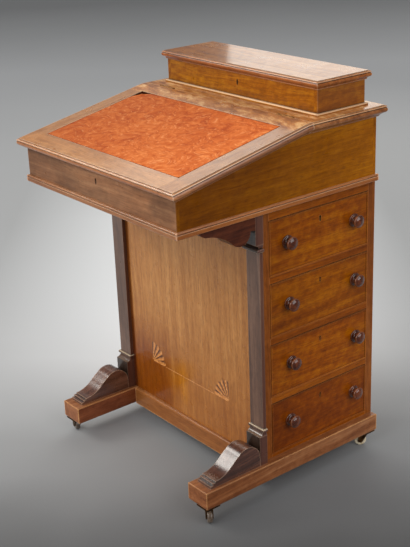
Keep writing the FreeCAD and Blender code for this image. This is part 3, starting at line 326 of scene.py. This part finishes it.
dress(polished_wood("foot_mahogany", "Y", ((100, 52, 24), (138, 83, 47), (170, 115, 74), (244, 184, 120)), edge_wear_and_highlight=0.85,
                    edge_reach=0.003, figure=0.2, calm=0.5, extra=painted_light_and_shade_on_feet), "sledge_feet")

# Plinth rails: a rail tenoned between the feet at the front and another at the back, with a round nosing planed
# along the top edge.
# Its edge wear is set high, so the pale nosing is worn wood and a painted highlight along it.
dress(polished_wood("rail_mahogany", "X", ((106, 58, 24), (146, 88, 42), (172, 112, 60), (236, 176, 120)), edge_wear_and_highlight=0.95,
                    edge_reach=0.003, figure=0.15, calm=0.6, cut=(0.2, 0.1, 0.4)), "plinth_rails")

# Toe scrolls: sawn and carved from thick stuff, glued on top of the feet against the pilasters, and stained almost
# black to look like rosewood.
dress(polished_wood("scroll_mahogany", "Y", ((46, 23, 16), (84, 50, 38), (118, 78, 60), (214, 176, 144)), edge_wear_and_highlight=0.6,
                    edge_reach=0.002, figure=0.1, gloss=0.2, coat=1.0, shine=0.5, calm=0.8, film=0.2), "foot_scrolls")

# Pilasters: flat columns each side of the front, a base block, a moulding, a shaft, a capital and an upper block
# glued one on another. All are dark stained, and the blocks and mouldings keep most of the stain.
shaft_foot, shaft_head = 0.158, 0.545


def stained_blocks_and_lit_lips(tree, at, colour):
    """Nearly black fronts above and below the shaft, redder right sides, and a painted highlight on the lip at each
    end.
    """
    _, y, z = ways(tree, at)
    below = span(tree, z, shaft_foot - 0.001, shaft_foot + 0.001, 0.85, 0.0)
    above = span(tree, z, shaft_head - 0.001, shaft_head + 0.001, 0.0, 0.8)
    front = span(tree, y, -0.0665, -0.0645, 1.0, 0.25)
    blocks = calc(tree, "MULTIPLY", calc(tree, "MAXIMUM", below, above), front)
    colour = blend_colours(tree, blocks, colour, tint(26, 20, 15))
    side = span(tree, face_way(tree)[0], 0.5, 0.8, 0.0, 0.6)
    colour = blend_colours(tree, side, colour, tint(92, 46, 34))
    # Painted highlight: the flat top of each lip, as if it caught the light from above.
    lips = [calc(tree, "COMPARE", z, lip, 0.0008) for lip in (shaft_foot - 0.0002, shaft_head + 0.0002)]
    pale_wear_and_highlight = calc(tree, "MULTIPLY", calc(tree, "MAXIMUM", *lips), 0.6)
    return blend_colours(tree, pale_wear_and_highlight, colour, tint(220, 198, 164))


dress(polished_wood("pilaster_mahogany", "Z", ((62, 38, 28), (104, 72, 54), (134, 98, 76), (176, 140, 112)), edge_wear_and_highlight=0.4,
                    figure=0.1, gloss=0.26, coat=0.8, shine=0.4, calm=0.6, crease_shade=0.8, extra=stained_blocks_and_lit_lips),
      "pilasters")

# Top brackets: two shaped cheeks under the overhang of the desk box, sawn to an ogee from the same dark stuff as the
# pilasters and glued up into the corner behind them.
dress(polished_wood("bracket_mahogany", "Y", ((44, 16, 8), (72, 32, 18), (100, 50, 28), (140, 84, 50)), figure=0.2),
      "top_brackets")


# Front panel: one wide board of plain-sawn mahogany, upright, held in grooves between the pilasters. Its colour
# carries painted reflection: deepest low down and on the left, where the polish mirrors the dark feet and scrolls.
def painted_reflection_and_shadow(tree, at, colour):
    """Painted reflection of the dark feet and scrolls: the deep tone low down and a darker spot on the left; a golden
    spot beside it; and a painted shadow of the pilaster along the left edge.
    """
    x, _, z = ways(tree, at)
    drift = swung(tree, 0.0, speckle(tree, at, (16.0, 16.0, 5.0), 3.0), 0.12)
    # Painted reflection: deeper and darker low down, to the left, and in a spot on the left, where the dark feet and
    # scrolls are mirrored.
    low = calc(tree, "MULTIPLY_ADD", x, 0.12, calc(tree, "ADD", z, drift))
    colour = dyed(tree, colour, (0.76, 0.57, 0.27, 1.0), span(tree, low, 0.15, 0.32, 0.7, 0.0))
    flat = lay(tree, "VectorMath", {0: at, 1: (1.0, 0.0, 0.9)}, operation="MULTIPLY")
    spot = calc(tree, "ADD", measure(tree, "DISTANCE", flat, (-0.16, 0.0, 0.12)), drift)
    colour = dyed(tree, colour, (0.62, 0.42, 0.08, 1.0), span(tree, spot, 0.06, 0.14, 0.95, 0.0))
    gold = calc(tree, "ADD", measure(tree, "DISTANCE", at, (-0.04, -0.05, 0.15)), drift)
    colour = dyed(tree, colour, (1.3, 1.25, 0.15, 1.0), span(tree, gold, 0.0, 0.05, 0.9, 0.0))
    # Painted shadow of the left pilaster along the panel's left edge.
    return dyed(tree, colour, (0.3, 0.16, 0.05, 1.0), span(tree, x, -0.209, -0.203, 0.9, 0.0))


dress(polished_wood("panel_mahogany", "Z", ((150, 90, 36), (180, 120, 60), (202, 144, 82), (220, 170, 124)),
                    figure=0.15, ring=0.02, heart=(0.05, -0.35), lean=(0.02, 0.06), gloss=0.24, coat=0.6, calm=0.5,
                    extra=painted_reflection_and_shadow), "front_panel")

# Fan inlays: two quarter fans of boxwood rays, each ray scorched in hot sand along one side, and the stringing that
# joins them, let into the panel and levelled with it.
fan_out, fan_up, rays_in_half_turn = 0.1373, 0.171, 10
fan_wood, tree, sockets = finish_named("scorched_boxwood")
at = object_place(tree)
x, _, z = ways(tree, at)
out_x = calc(tree, "SUBTRACT", calc(tree, "ABSOLUTE", x), fan_out)
out_z = calc(tree, "SUBTRACT", z, fan_up)
turn = calc(tree, "ARCTAN2", out_z, calc(tree, "ABSOLUTE", out_x))
across_ray = calc(tree, "FRACT", calc(tree, "DIVIDE", turn, math.pi / rays_in_half_turn))
grain = speckle(tree, at, 220.0, 3.0, 0.6)
wood = graded(tree, grain, (0.35, tint(176, 104, 44)), (0.5, tint(210, 134, 64)), (0.65, tint(232, 164, 96)))
scorch = calc(tree, "MULTIPLY", span(tree, across_ray, 0.3, 0.8), span(tree, out_z, 0.004, 0.01))
wood = blend_colours(tree, calc(tree, "MULTIPLY", scorch, 0.95), wood, tint(70, 28, 8))
wire(tree, sockets, Base_Color=wood, Normal=raised(tree, grain, 0.15, 0.0003), Coat_Weight=0.45, Coat_Roughness=0.13,
     Roughness=span(tree, grain, 0.3, 0.7, 0.26, 0.38))
dress(fan_wood, "fan_inlays")


# The carcase inside and behind: back panel, dust boards with their drawer guides, the bottom of the desk box. Plain
# softwood and cedar, planed and never polished, stained in grey-brown patches, with painted shade in their corners.
def plain_wood(name, along, tones, cross=None, cut=(0.0, 0.0, 0.0)):
    """Bare planed wood in three tones, dark, middle and pale, stained by damp, with painted shade in its corners."""
    finish, tree, sockets = finish_named(name)
    dark, middle, pale = [tint(*tone) for tone in tones]
    at = object_place(tree)
    board = lay(tree, "Mapping", {0: facing(tree, at, along, cross), "Location": cut})
    sway = speckle(tree, board, (2.0, 6.0, 6.0))
    swayed = lay(tree, "VectorMath", {0: (0.0, 0.04, 0.04), 1: sway, 2: board}, operation="MULTIPLY_ADD")
    streaks = speckle(tree, swayed, (2.5, 75.0, 75.0), 4.0, 0.6)
    fibre = speckle(tree, board, (20.0, 700.0, 700.0))
    colour = graded(tree, streaks, (0.24, dark), (0.5, middle), (0.76, pale))
    colour = dyed(tree, colour, span(tree, fibre, 0.3, 0.7, 0.84, 1.12))
    stains = speckle(tree, at, 14.0, 4.0, 0.65)
    colour = blend_colours(tree, span(tree, stains, 0.52, 0.75, 0.0, 0.4), colour, tint(74, 56, 42))
    # Painted shade in the corners.
    corner = span(tree, openness(tree, 0.02), 0.4, 0.95, 0.5, 0.0)
    colour = blend_colours(tree, corner, colour, tint(46, 32, 22))
    wire(tree, sockets, Base_Color=colour, Normal=raised(tree, fibre, 0.35, 0.0004),
         Roughness=span(tree, stains, 0.3, 0.7, 0.6, 0.8))
    return finish


dress(plain_wood("back_board_pine", "Z", ((126, 88, 54), (144, 104, 66), (160, 120, 80))), "back_panel")
dress(plain_wood("dust_board_pine", "X", ((120, 86, 52), (150, 112, 72), (172, 134, 92)), cut=(0.3, 0.2, 0.1)),
      "dust_boards", "desk_floor")

# Drawer side: an upright frame on the right, two stiles with five rails tenoned between them, polished. The left
# side has the same frame.
drawers_y = 0.10885
opening_half = 0.13765


def golden_rails(tree, at, colour):
    """The rails are more golden than the stiles; painted shade darkens the front stile in the corner beside the
    pilaster.
    """
    from_middle = calc(tree, "SUBTRACT", ways(tree, at)[1], drawers_y)
    # Painted shade along the front stile beside the pilaster.
    colour = blend_colours(tree, span(tree, from_middle, -0.161, -0.156, 0.75, 0.0), colour, tint(66, 22, 10))
    rails = calc(tree, "LESS_THAN", calc(tree, "ABSOLUTE", from_middle), opening_half)
    return dyed(tree, colour, (1.05, 0.9, 0.2, 1.0), rails)


for name, cut in (("drawer_side_frame", (0.0, 0.0, 0.0)), ("dummy_side_frame", (0.4, 0.3, 0.2))):
    dress(polished_wood(name + "_mahogany", "Y", ((98, 46, 8), (138, 74, 24), (164, 98, 44), (196, 130, 80)),
                        cross=("Y", drawers_y, opening_half, "Z"), cut=cut, figure=0.2, coat=0.12, shine=0.15,
                        calm=0.5, edge_wear_and_highlight=0.5, extra=golden_rails), name)

# Drawers: four, with solid fronts of figured mahogany in a cock bead, dovetailed pale sides and bottoms, and a brass
# lock let into each front. The left side has four dummy fronts.
first_drawer_top, drawer_pitch, keyhole_drop = 0.6, 0.1325, 0.0273
front_tones = [
    ((100, 42, 1), (143, 70, 1), (174, 100, 3)),
    ((98, 42, 1), (140, 70, 1), (172, 98, 3)),
    ((104, 44, 1), (150, 74, 1), (182, 104, 3)),
    ((94, 36, 1), (134, 62, 1), (164, 88, 3)),
]


def keyhole_grime(tree, at, colour, x, y, z):
    """A greasy dark patch round a keyhole; x or y is None along the way it looks."""
    kept = (float(x is not None), float(y is not None), 0.5)
    flat = lay(tree, "VectorMath", {0: at, 1: kept}, operation="MULTIPLY")
    patch = measure(tree, "DISTANCE", flat, (x or 0.0, y or 0.0, z / 2))
    return blend_colours(tree, span(tree, patch, 0.002, 0.004, 0.85, 0.0), colour, tint(40, 16, 8))


def gap_shadow_and_grime(top):
    """A painted shadow in the gap along a drawer's top edge, which is at height top; darker towards its ends; grime
    round its keyhole.
    """
    def gap_shadow_ends_and_grime(tree, at, colour):
        _, y, z = ways(tree, at)
        # Painted shadow of the gap above the drawer front.
        colour = blend_colours(tree, span(tree, z, top - 0.0034, top - 0.002, 0.0, 0.85), colour, tint(48, 16, 4))
        # Darker towards the front and back ends.
        out = calc(tree, "ABSOLUTE", calc(tree, "SUBTRACT", y, 0.125))
        colour = blend_colours(tree, span(tree, out, 0.05, 0.15, 0.0, 0.25), colour, tint(88, 40, 8))
        return keyhole_grime(tree, at, colour, None, drawers_y, top - keyhole_drop)
    return gap_shadow_ends_and_grime


for k, tones in enumerate(front_tones):
    dress(polished_wood(f"drawer_{k + 1}_mahogany", "Y", (*tones, (216, 136, 66)),
                        cut=(0.37 * k, 0.21 * k, 0.5 - 0.13 * k), heart=(0.1, -0.2 - 0.04 * k), figure=0.35,
                        slant=0.9, ring=0.02, gloss=0.3, coat=0.12, shine=0.15, edge_wear_and_highlight=0.7, calm=0.5,
                        extra=gap_shadow_and_grime(first_drawer_top - drawer_pitch * k)), f"drawer_{k + 1}_front")
dress(polished_wood("dummy_mahogany", "Y", (*front_tones[0], (176, 112, 56)), figure=0.35, slant=-0.7, gloss=0.3,
                    coat=0.12, shine=0.15, calm=0.5), "dummy_drawer_fronts")
drawer_cedar = plain_wood("drawer_cedar", "X", ((134, 88, 50), (164, 116, 70), (186, 140, 92)),
                          cross=("X", 0.0, 0.225, "Y"))
dress(drawer_cedar, *[f"drawer_{n}_box" for n in (1, 2, 3, 4)])


# Locks, bolts, hinges and staples: cast and rolled brass, filed bright once and gone brown since, darkest in the
# corners.
def old_brass(name, bright, dull, gloss):
    finish, tree, sockets = finish_named(name)
    at = object_place(tree)
    tarnish = speckle(tree, at, 90.0, 5.0, 0.65)
    file_lines = speckle(tree, at, (60.0, 2200.0, 900.0))
    colour = graded(tree, tarnish, (0.36, tint(*dull)), (0.62, tint(*bright)))
    corner = span(tree, openness(tree, 0.006), 0.3, 0.95, 0.7, 0.0)
    colour = blend_colours(tree, corner, colour, tint(44, 28, 14))
    round_edge = lay(tree, "Bevel", {"Radius": 0.0003}, samples=4)
    wire(tree, sockets, Base_Color=colour, Metallic=1.0,
         Normal=raised(tree, file_lines, 0.15, 0.0002, Normal=round_edge),
         Roughness=span(tree, tarnish, 0.3, 0.7, gloss + 0.2, gloss))
    return finish


dress(old_brass("lock_brass", (196, 152, 86), (120, 84, 44), 0.28),
      *[f"drawer_{n}_{part}" for n in (1, 2, 3, 4) for part in ("lock", "bolt")],
      "lid_locks", "slope_lock_bolt", "stationery_lock_bolt")
dress(old_brass("hinge_brass", (168, 120, 74), (118, 82, 50), 0.4),
      "hinge_leaves", "slope_lid_brasses", "stationery_lid_brasses")


# Knobs: turned from dark mahogany on a dowel, with a thin ring at the foot, a hollow neck and a low domed head. Two
# to a drawer, and two to each dummy front.
def bench_piece(name, shape, finish, body):
    """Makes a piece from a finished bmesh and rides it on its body."""
    mesh = bpy.data.meshes.new(name)
    shape.to_mesh(mesh)
    shape.free()
    for face in mesh.polygons:
        face.use_smooth = True
    piece = bpy.data.objects.new(name, mesh)
    bpy.context.scene.collection.objects.link(piece)
    piece.data.materials.append(finish)
    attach(piece, body)
    return piece


pedestal_face = 0.2485  # out from the middle of the desk
knob_heights = (0.54575, 0.41325, 0.28075, 0.14825)
front_knob_y, back_knob_y = 0.01905, 0.20405
knob_outline = [  # out from the face and radius, in millimetres
    (0.0, 13.2), (0.5, 14.0), (1.6, 14.2), (2.6, 13.7), (3.1, 12.6), (3.3, 11.2), (4.2, 9.7), (5.8, 8.5),
    (7.6, 8.05), (9.2, 8.4), (10.4, 9.8), (11.5, 11.8), (12.9, 13.3), (14.6, 14.0), (16.3, 13.7), (17.5, 12.9),
    (18.2, 11.9), (18.1, 11.2), (18.4, 10.6), (19.4, 9.6), (20.4, 7.2), (21.0, 4.6), (21.3, 1.9), (21.4, 0.0),
]


# A pale ring round each knob's head: wear from hands, and a painted highlight where the rim would catch the light.
def worn_and_glinting_rim(tree, at, colour):
    out = calc(tree, "SUBTRACT", calc(tree, "ABSOLUTE", ways(tree, at)[0]), pedestal_face)
    rim = calc(tree, "MULTIPLY", calc(tree, "COMPARE", out, 0.0163, 0.0012), 0.2)
    return blend_colours(tree, rim, colour, tint(214, 140, 92))


knob_finish = polished_wood("knob_mahogany", "X", ((40, 14, 5), (84, 36, 15), (128, 64, 28), (214, 150, 118)),
                            figure=0.3, gloss=0.12, coat=1.0, shine=0.3, edge_wear_and_highlight=0.5, film=0.04, extra=worn_and_glinting_rim)


def knobs(name, body, places, side, node):
    """Spins a knob for each place and sets it there, a hair off square; side is 1 on the drawers, -1 on the
    dummies."""
    shape = bmesh.new()
    for k, (y, z) in enumerate(places):
        before = set(shape.verts)
        rim = [shape.verts.new((0.0, radius / 1000, out / 1000)) for out, radius in knob_outline]
        edges = [shape.edges.new(pair) for pair in zip(rim, rim[1:])]
        bmesh.ops.spin(shape, geom=rim + edges, axis=(0.0, 0.0, 1.0), cent=(0.0, 0.0, 0.0), steps=40,
                       angle=math.tau, use_merge=True)
        tilt = Matrix.Rotation(0.03 * math.sin(k * 2.1 + z * 9), 4, "X")
        outward = Matrix.Rotation(side * math.pi / 2, 4, "Y")
        place = Matrix.Translation((side * pedestal_face, y, z)) @ tilt @ outward
        bmesh.ops.transform(shape, matrix=place, verts=[v for v in shape.verts if v not in before])
    bmesh.ops.remove_doubles(shape, verts=shape.verts, dist=1e-6)
    bmesh.ops.holes_fill(shape, edges=[e for e in shape.edges if e.is_boundary])
    bmesh.ops.recalc_face_normals(shape, faces=shape.faces)
    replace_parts(bench_piece(name, shape, knob_finish, body), node)


for k, (z, slip) in enumerate(zip(knob_heights, (0.0, 0.004, 0.008, 0.004))):
    knobs(f"drawer_{k + 1}_turned_knobs", f"drawer_{k + 1}", [(y + slip, z) for y in (front_knob_y, back_knob_y)], 1,
          f"drawer_{k + 1}_knobs")
knobs("dummy_turned_knobs", "desk", [(y, z) for z in knob_heights for y in (front_knob_y, back_knob_y)], -1,
      "dummy_knobs")

# Desk box: two sloping sides, a front with the keyhole, and a back, dovetailed and polished outside; the sides are
# the warmest of the boards, and painted light makes them paler and yellower towards the back.
front_keyhole_z = 0.6761


def painted_light_to_back(tree, at, colour):
    """Painted light: paler and yellower towards the back."""
    return dyed(tree, colour, (1.9, 2.1, 3.2, 1.0), span(tree, ways(tree, at)[1], -0.05, 0.27))


def smudges_and_painted_light(tree, at, colour):
    """Dull dark patches left by hands, painted light that leaves the left end darker than the right, and grime round
    the keyhole.
    """
    smudges = speckle(tree, at, (9.0, 9.0, 16.0), 3.0, 0.55, (0.7, 0.0, 0.3))
    colour = dyed(tree, colour, span(tree, smudges, 0.35, 0.6, 0.66, 1.16))
    # Painted light: darker at the left end, brighter at the right.
    colour = dyed(tree, colour, span(tree, ways(tree, at)[0], -0.25, 0.22, 0.82, 1.25))
    return keyhole_grime(tree, at, colour, 0.0, None, front_keyhole_z)


dress(polished_wood("box_side_mahogany", "Y", ((88, 42, 1), (120, 65, 1), (144, 86, 5), (170, 116, 64)),
                    cross=("Y", 0.0, 0.248, "X"), figure=0.2, ring=0.022, heart=(0.1, -0.5), calm=0.5, coat=0.12,
                    shine=0.12, extra=painted_light_to_back), "desk_walls")
dress(polished_wood("box_front_mahogany", "X", ((96, 57, 28), (130, 86, 54), (156, 112, 76), (176, 128, 92)),
                    figure=0.15, calm=0.5, extra=smudges_and_painted_light), "desk_front")


# Waist moulding: four lengths of a bead over a flat, mitred at the corners and glued round the foot of the desk box.
# The length on the right has kept a redder polish.
def ruddy_side(tree, at, colour):
    return shade_faces(tree, colour, 0, 0.2, 0.6, (1.02, 0.83, 0.55))


dress(polished_wood("waist_mahogany", "X", ((110, 60, 28), (152, 96, 54), (178, 122, 78), (236, 182, 142)),
                    cross=("X", 0.0, 0.2545, "Y"), edge_wear_and_highlight=0.9, edge_reach=0.002, figure=0.1, crease_shade=0.9, calm=0.5, coat=0.5,
                    extra=ruddy_side), "waist_moulding")


# Fixed top: a board glued down behind the slope, moulded on three edges, its face of flame-figured mahogany that
# runs on into the far rail of the slope lid.
def flame_face(tree, at, colour):
    """Flames on the top and the far rail of the slope, paler towards the ends; the mouldings are darker."""
    colour = shade_faces(tree, colour, 2, 0.93, 0.85, (0.84, 0.72, 0.74))
    x, y, _ = ways(tree, at)
    upward = calc(tree, "GREATER_THAN", face_way(tree)[2], 0.97)
    face = calc(tree, "MULTIPLY", upward, span(tree, y, 0.018, 0.024))
    bent = lay(tree, "Mapping", {0: at, "Rotation": (0.0, 0.0, 0.25)})
    flames = speckle(tree, bent, (26.0, 60.0, 30.0), 5.0, 0.7, (0.4, 0.2, 0.0))
    flames = graded(tree, flames, (0.36, tint(122, 66, 24)), (0.5, tint(180, 112, 50)), (0.62, tint(222, 174, 116)))
    flames = dyed(tree, flames, span(tree, calc(tree, "ABSOLUTE", x), 0.02, 0.24, 0.88, 1.2))
    return blend_colours(tree, calc(tree, "MULTIPLY", face, 0.78), colour, flames)


dress(polished_wood("top_mahogany", "X", ((112, 62, 24), (162, 104, 48), (200, 142, 82), (236, 192, 150)),
                    figure=0.15, gloss=0.24, coat=0.6, edge_wear_and_highlight=0.8, edge_reach=0.002, crease_shade=0.8, cut=(0.1, 0.3, 0.2),
                    extra=flame_face), "desk_top")

# Stationery box: four thin walls on the fixed top, with a bead round their foot and a keyhole in the front. A
# painted highlight lies along the top of the bead.
bead_z, box_keyhole_z, box_middle_y, box_end_x = 0.7832, 0.8122, 0.18, 0.2395


def bead_highlight_and_marks(tree, at, colour):
    """A painted highlight along the bead, darker to the left, grimy round the keyhole, and browner on the right end.
    """
    x, y, z = ways(tree, at)
    # Painted highlight along the top of the bead.
    colour = blend_colours(tree, calc(tree, "COMPARE", z, bead_z, 0.0013), colour, tint(232, 190, 146))
    colour = dyed(tree, colour, span(tree, x, -0.24, 0.1, 0.74, 1.02))
    marked = keyhole_grime(tree, at, colour, 0.0, None, box_keyhole_z)
    colour = blend_colours(tree, calc(tree, "LESS_THAN", y, box_middle_y), colour, marked)
    return blend_colours(tree, span(tree, x, box_end_x, box_end_x + 0.0007, 0.0, 0.35), colour, tint(104, 60, 44))


dress(polished_wood("stationery_mahogany", "X", ((112, 56, 2), (152, 86, 2), (188, 120, 14), (220, 180, 140)),
                    cross=("X", 0.0, 0.23, "Y"), figure=0.35, cut=(0.6, 0.1, 0.3), edge_wear_and_highlight=0.1, calm=0.6,
                    extra=bead_highlight_and_marks), "stationery_case")

# Inside fittings: shelf, pigeonholes and dividers of thin cedar, slid into grooves, and two small drawers of the
# same wood.
dress(plain_wood("pigeonhole_cedar", "Y", ((120, 72, 38), (150, 98, 56), (176, 124, 78))),
      "inner_fittings", "inner_drawer_left", "inner_drawer_right")

# Slope lid: a clamped panel with a moulded edge on three sides, sunk for the leather. The sunk part is bare wood
# with old paste on it, and so it is matt; its dark colour is also painted shade under the curled leather.
slope_angle = math.radians(11.1)
bend_y, slope_top = 0.0575, 0.779454  # the bend, where the slope meets the level top
sunk_half, sunk_near, sunk_far = 0.2276, -0.2245, 0.0262


def sunk(tree, at, colour):
    """The bed of the leather, told by its depth under the slope, dark with old paste and painted shade; the front
    rail is paler with a painted sheen.
    """
    from_bend = lay(tree, "VectorMath", {0: at, 1: (0.0, bend_y, slope_top)}, operation="SUBTRACT")
    level = measure(tree, "DOT_PRODUCT", from_bend, (0.0, -math.sin(slope_angle), math.cos(slope_angle)))
    x, y, _ = ways(tree, at)
    deep = calc(tree, "LESS_THAN", level, -0.0007)
    for side, value, limit in (("GREATER_THAN", level, -0.0014),
                               ("LESS_THAN", calc(tree, "ABSOLUTE", x), sunk_half),
                               ("GREATER_THAN", y, sunk_near), ("LESS_THAN", y, sunk_far)):
        deep = calc(tree, "MULTIPLY", deep, calc(tree, side, value, limit))
    for polish in ("Coat Weight", "Specular IOR Level"):
        tree.links.new(calc(tree, "MULTIPLY_ADD", deep, -0.5, 0.5), tree.nodes["Principled BSDF"].inputs[polish])
    colour = flame_face(tree, at, colour)
    # Painted sheen on the front rail.
    colour = dyed(tree, colour, (1.25, 1.25, 1.15, 1.0), span(tree, y, -0.222, -0.236))
    # The bed: old paste, dark also as painted shade under the curled leather.
    return blend_colours(tree, deep, colour, tint(46, 20, 10))


dress(polished_wood("slope_mahogany", "X", ((128, 74, 32), (164, 108, 60), (190, 134, 84), (240, 200, 164)),
                    cross=("X", 0.0, 0.227, "Y"), figure=0.2, gloss=0.24, coat=0.7, shine=0.3, edge_wear_and_highlight=0.9, edge_reach=0.002,
                    crease_shade=0.8, calm=0.6, extra=sunk), "slope_lid")

# Leather skiver: thin split leather the colour of rust, pasted into the lid. It has shrunk and curled off its paste
# at the back left corner, and drawn away a little at the front right one.
leather_near, leather_far, leather_half = 0.28638, 0.0333, 0.227  # down the slope from its bend, and to each side
leather_middle = (leather_near + leather_far) / 2
skiver, tree, sockets = finish_named("rust_leather")
at = object_place(tree)
warp = lay(tree, "TexNoise", {"Vector": at, "Scale": 16.0, "Detail": 3.0}, out=1)
pulled = lay(tree, "VectorMath", {0: (0.09, 0.09, 0.09), 1: warp, 2: at}, operation="MULTIPLY_ADD")
blotches = speckle(tree, pulled, (52.0, 90.0, 52.0), 5.0, 0.62)
patches = speckle(tree, at, 9.0, 3.0)
tone = calc(tree, "MULTIPLY_ADD", patches, 0.35, calc(tree, "MULTIPLY", blotches, 0.65))
hide = graded(tree, tone, (0.34, tint(166, 65, 14)), (0.46, tint(193, 89, 27)), (0.54, tint(207, 103, 37)),
              (0.66, tint(225, 127, 58)))
strokes = speckle(tree, pulled, (90.0, 160.0, 90.0), 3.0, 0.55, (3.1, 1.7, 0.0))
hide = blend_colours(tree, span(tree, strokes, 0.55, 0.7, 0.0, 0.5), hide, tint(243, 162, 100))
x, y, _ = ways(tree, at)
hide = dyed(tree, hide, span(tree, x, -0.2, 0.2, 0.84, 1.14))
# Darker along the sides and the front edge.
darker_edges = calc(tree, "MAXIMUM", calc(tree, "GREATER_THAN", calc(tree, "ABSOLUTE", x), 0.2252),
              calc(tree, "LESS_THAN", y, -0.2222))
hide = blend_colours(tree, calc(tree, "MULTIPLY", darker_edges, 0.7), hide, tint(84, 34, 16))
grain = lay(tree, "TexVoronoi", {"Vector": at, "Scale": 900.0})
hide = dyed(tree, hide, span(tree, grain, 0.0, 0.6, 1.06, 0.86))
pebble = lay(tree, "Bump", {"Strength": 0.3, "Distance": 0.0004, "Height": grain, "Filter Width": 1.0}, invert=True)
wire(tree, sockets, Base_Color=hide, Normal=raised(tree, blotches, 0.35, 0.002, Normal=pebble),
     Roughness=span(tree, blotches, 0.3, 0.7, 0.78, 0.66), Specular_IOR_Level=0.2)

curl_reach, curl_rise, curl_in, curl_down = 0.024, 0.002, 0.018, 0.014
drawn_reach, drawn_in, drawn_up = 0.006, 0.003, 0.0025


def wavy(x, down, fineness, seed):
    return noise.noise(Vector((x * fineness, down * fineness, seed)))


shape = bmesh.new()
bmesh.ops.create_grid(shape, x_segments=150, y_segments=84, size=1.0)
for point in shape.verts:
    x = point.co.x * leather_half
    down = leather_middle - point.co.y * (leather_near - leather_far) / 2
    side_gap, end_gap = leather_half - abs(x), min(leather_near - down, down - leather_far)
    rise = 0.00018 * wavy(x, down, 38, 0.3) + 0.0001 * wavy(x, down, 120, 2.3)
    rise -= 0.0003 * math.exp(-min(side_gap, end_gap) / 0.0015)
    x -= math.copysign(0.0005 * (1 + wavy(x, down, 45, 5.1)) * math.exp(-side_gap / 0.006), x)
    push = 0.0005 * (1 + wavy(x, down, 45, 8.7)) * math.exp(-end_gap / 0.006)
    down += push if down < leather_middle else -push
    curl = math.exp(-((x + leather_half) ** 2 + (1.2 * (down - leather_far)) ** 2) / curl_reach**2)
    rise += curl_rise * curl
    x += curl_in * curl
    down += curl_down * curl
    drawn = math.exp(-((x - leather_half) ** 2 + (down - leather_near) ** 2) / drawn_reach**2)
    x, down = x - drawn_in * drawn, down - drawn_up * drawn
    point.co = (x, bend_y - down * math.cos(slope_angle) - rise * math.sin(slope_angle),
                slope_top - down * math.sin(slope_angle) + rise * math.cos(slope_angle))
bmesh.ops.recalc_face_normals(shape, faces=shape.faces)
if sum(face.normal.z for face in shape.faces) < 0:
    bmesh.ops.reverse_faces(shape, faces=shape.faces)
leather = bench_piece("leather_writing_skin", shape, skiver, "writing_lid")
thick = leather.modifiers.new("thickness", "SOLIDIFY")
thick.thickness = 0.001
thick.offset = -1.0
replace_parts(leather, "leather_skiver")


# Stationery lid: a thin board of mahogany with a moulded edge planed on all four sides, hinged at the back. Its
# mouldings are redder than its top.
def ruddy_edge(tree, at, colour):
    return shade_faces(tree, colour, 2, 0.93, 0.85, (0.84, 0.7, 0.8))


dress(polished_wood("box_lid_mahogany", "X", ((112, 58, 18), (164, 98, 34), (194, 130, 58), (240, 200, 164)),
                    figure=0.25, gloss=0.24, coat=0.65, shine=0.1, edge_wear_and_highlight=0.5, edge_reach=0.002, crease_shade=0.9, calm=0.5,
                    cut=(0.9, 0.4, 0.1), extra=ruddy_edge), "stationery_lid")

# Casters: a screwed brass plate, a cast horn that turns under it, and a glazed ceramic wheel, cream on the back
# pair and brown on the front pair.
horn_brass = old_brass("horn_brass", (116, 82, 48), (56, 38, 24), 0.36)
dress(horn_brass, "caster_plates")


def ceramic(name, low, middle, high, craze):
    glaze, tree, sockets = finish_named(name)
    at = object_place(tree)
    crazing = lay(tree, "TexVoronoi", {"Vector": at, "Scale": 260.0}, feature="DISTANCE_TO_EDGE")
    stain = speckle(tree, at, 120.0, 4.0, 0.6)
    fired = graded(tree, stain, (0.35, tint(*low)), (0.55, tint(*middle)), (0.7, tint(*high)))
    fired = blend_colours(tree, span(tree, crazing, 0.0, 0.05, 0.5, 0.0), fired, tint(*craze))
    wire(tree, sockets, Base_Color=fired, Normal=raised(tree, stain, 0.1, 0.0003),
         Roughness=span(tree, stain, 0.3, 0.7, 0.2, 0.3), Coat_Weight=0.6, Coat_Roughness=0.08)
    return glaze


glazes = {"back": ceramic("cream_ceramic", (190, 168, 132), (226, 212, 182), (238, 228, 204), (132, 100, 66)),
          "front": ceramic("brown_ceramic", (70, 56, 46), (104, 88, 74), (136, 120, 104), (40, 30, 24))}
for end, side in (("front", "right"), ("front", "left"), ("back", "right"), ("back", "left")):
    dress(horn_brass, f"caster_{end}_{side}_horn")
    dress(glazes[end], f"caster_{end}_{side}_wheel")
